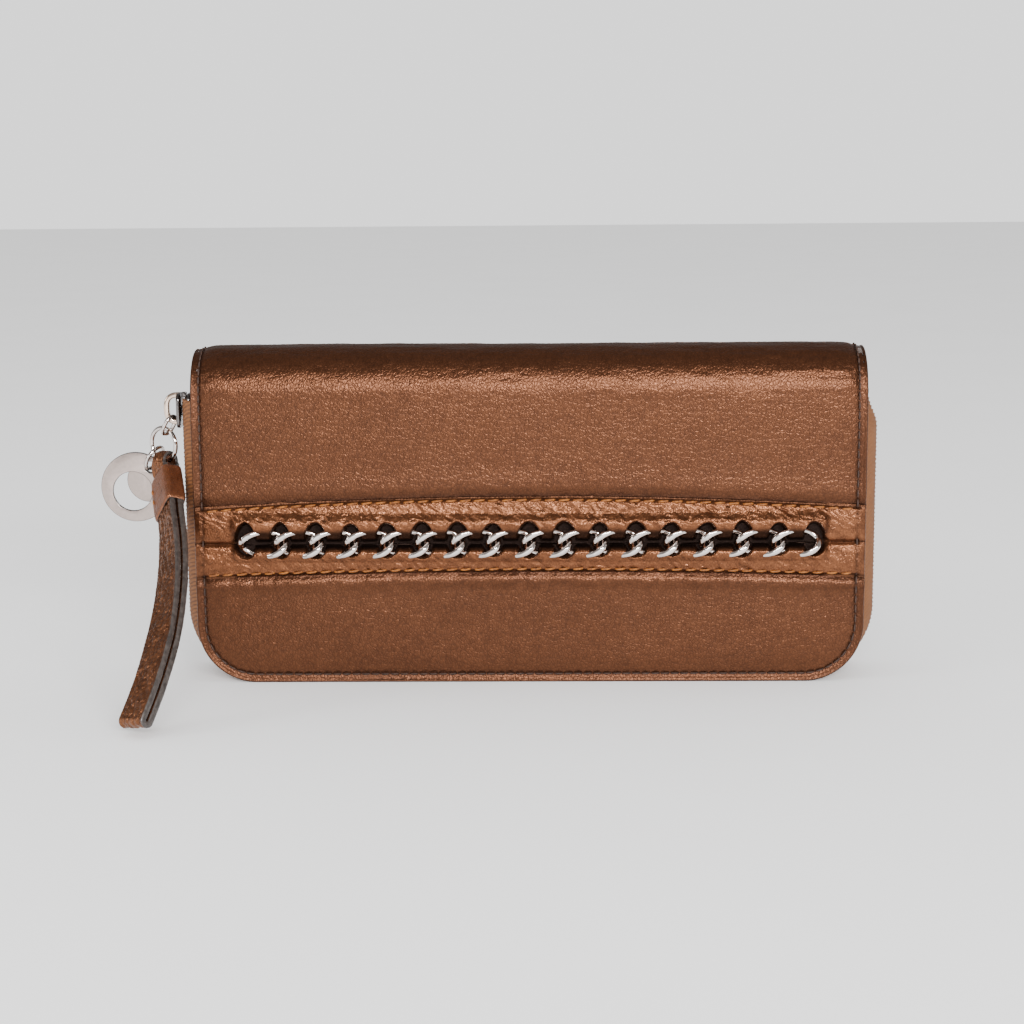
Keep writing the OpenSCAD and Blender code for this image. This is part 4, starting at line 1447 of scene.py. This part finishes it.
def make_coin_zip():
    """Tapes and teeth of the coin pocket's zip."""
    xs = np.linspace(CT_LO[0], CT_HI[0], 300)
    mid = (CC_LO[2] + CC_HI[2]) / 2
    tapes, teeth = [], []
    for side in (-1, 1):
        ys = np.linspace(CC_HI[1] - 0.05, CT_HI[1], 9) * side
        x, y = np.meshgrid(xs, ys, indexing="ij")
        rib = 0.04 * np.sin(x * 2 * math.pi / COIL_PITCH)
        top = np.stack([x, y, CT_HI[2] + 0 * x], -1)
        low = np.stack([x, y, CT_LO[2] + 0.05 + rib], -1)
        obj = shell(f"coin_tape_{'front' if side < 0 else 'back'}", top, low, [MAT["tape"]])
        tapes.append(obj)
        a = TOOTH_TURN
        for i in range(int((CC_HI[0] - CC_LO[0]) / COIL_PITCH)):
            cx = CC_LO[0] + 0.6 + COIL_PITCH * (i + (0 if side > 0 else 0.5))
            if cx > CC_HI[0] - 0.4:
                continue
            cy = side * 0.82
            loop = [cx + 0.14 * np.sin(a), cy + 0.40 * np.cos(a), mid + 0.52 * np.sin(a)]
            teeth.append(sweep(np.stack(loop, -1), 0.17, 6, closed=True))
    obj = make_object("coin_coil_teeth", *joined(teeth), [MAT["coil"]])
    attach(obj, "zip_coil", "spine", "coin_zip_coil")
    attach(tapes[0], "zip_tape", "spine", "coin_zip_tape")
    attach(tapes[1], "zip_tape", "spine")


make_coin_zip()


def make_gussets():
    """V-folded cloth at each end, between the pockets and the coin pocket.

    It is under 10 mm wide.
    """
    x_out, x_in, half_t = 87.25, 83.25, 0.17
    for which, sgn in (("front", -1), ("back", 1)):
        lo, hi = node_box(f"{which}_gussets")
        ya, yb = sorted((abs(lo[1]), abs(hi[1])))
        zs = np.linspace(lo[2] + 0.2, hi[2] - 0.2, 46)
        z, s = np.meshgrid(zs, np.linspace(-1, 1, 31), indexing="ij")
        y = (ya + yb) / 2 + (yb - ya) / 2 * s
        deep = np.clip(1 - np.sqrt(s * s + 0.012), 0, 1)
        made = []
        for end, hand in ((-1, "left"), (1, "right")):
            x = x_out - (x_out - x_in) * deep + 0.15 * value_noise(z / 7, s, 141 + end)
            grids = [np.stack([end * (x + t), sgn * y, z], -1) for t in (half_t, -half_t)]
            made.append(shell(f"{which}_gusset_{hand}", *grids, [MAT["lining"]]))
        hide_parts(f"{which}_gussets")
        for obj in made:
            if which == "front":
                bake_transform(obj)
            else:
                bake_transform(obj)


make_gussets()

# ---------- floor and light ----------


def make_stage():
    """Pale paper floor, a soft grey room, one low key light and a weak rim light."""
    m = Nodes("floor_paper")
    tone = m.ramp(m.noise(0.01, 2), (0.3, (0.93, 0.93, 0.93)), (0.7, (0.95, 0.95, 0.95)))
    m.finish(Base_Color=tone, Roughness=0.7)
    far = 4000.0
    corners = [(-far, -far, 0), (far, -far, 0), (far, far, 0), (-far, far, 0)]
    make_object("floor", corners, [(0, 1, 2, 3)], [m.mat])
    world = bpy.data.worlds.new("world")
    bpy.context.scene.world = world
    world.use_nodes = True
    tree = world.node_tree
    back = tree.nodes["Background"]
    coord = tree.nodes.new("ShaderNodeTexCoord")
    split = tree.nodes.new("ShaderNodeSeparateXYZ")
    height = tree.nodes.new("ShaderNodeValToRGB")
    tree.links.new(coord.outputs["Generated"], split.inputs["Vector"])
    tree.links.new(split.outputs["Z"], height.inputs["Fac"])
    stops = height.color_ramp.elements
    stops[0].position, stops[0].color = 0.0, (0.42, 0.42, 0.42, 1)
    stops[1].position, stops[1].color = 0.62, (0.34, 0.32, 0.31, 1)
    stops.new(0.22).color = (0.36, 0.36, 0.36, 1)
    ray = tree.nodes.new("ShaderNodeLightPath")
    colour = height.outputs["Color"]
    for kind, value in (("Is Diffuse Ray", 1.35), ("Is Camera Ray", 1.55)):
        pick = tree.nodes.new("ShaderNodeMix")
        pick.data_type = "RGBA"
        pick.inputs[7].default_value = (value, value, value, 1)
        tree.links.new(ray.outputs[kind], pick.inputs[0])
        tree.links.new(colour, pick.inputs[6])
        colour = pick.outputs[2]
    tree.links.new(colour, back.inputs["Color"])
    back.inputs["Strength"].default_value = 1.0

    def area(name, place, aim, size_x, size_y, power):
        data = bpy.data.lights.new(name, "AREA")
        data.shape = "RECTANGLE"
        data.size, data.size_y = size_x, size_y
        data.energy = power
        obj = bpy.data.objects.new(name, data)
        bpy.context.scene.collection.objects.link(obj)
        obj.location = place
        obj.rotation_euler = (Vector(aim) - Vector(place)).to_track_quat("-Z", "Y").to_euler()

    area("key", (0.25, -1.25, 0.52), (0, 0, 0.07), 1.0, 0.10, 29)
    area("rim", (-1.0, -0.5, 0.35), (-0.1, 0, 0.05), 0.25, 0.4, 3)


make_stage()
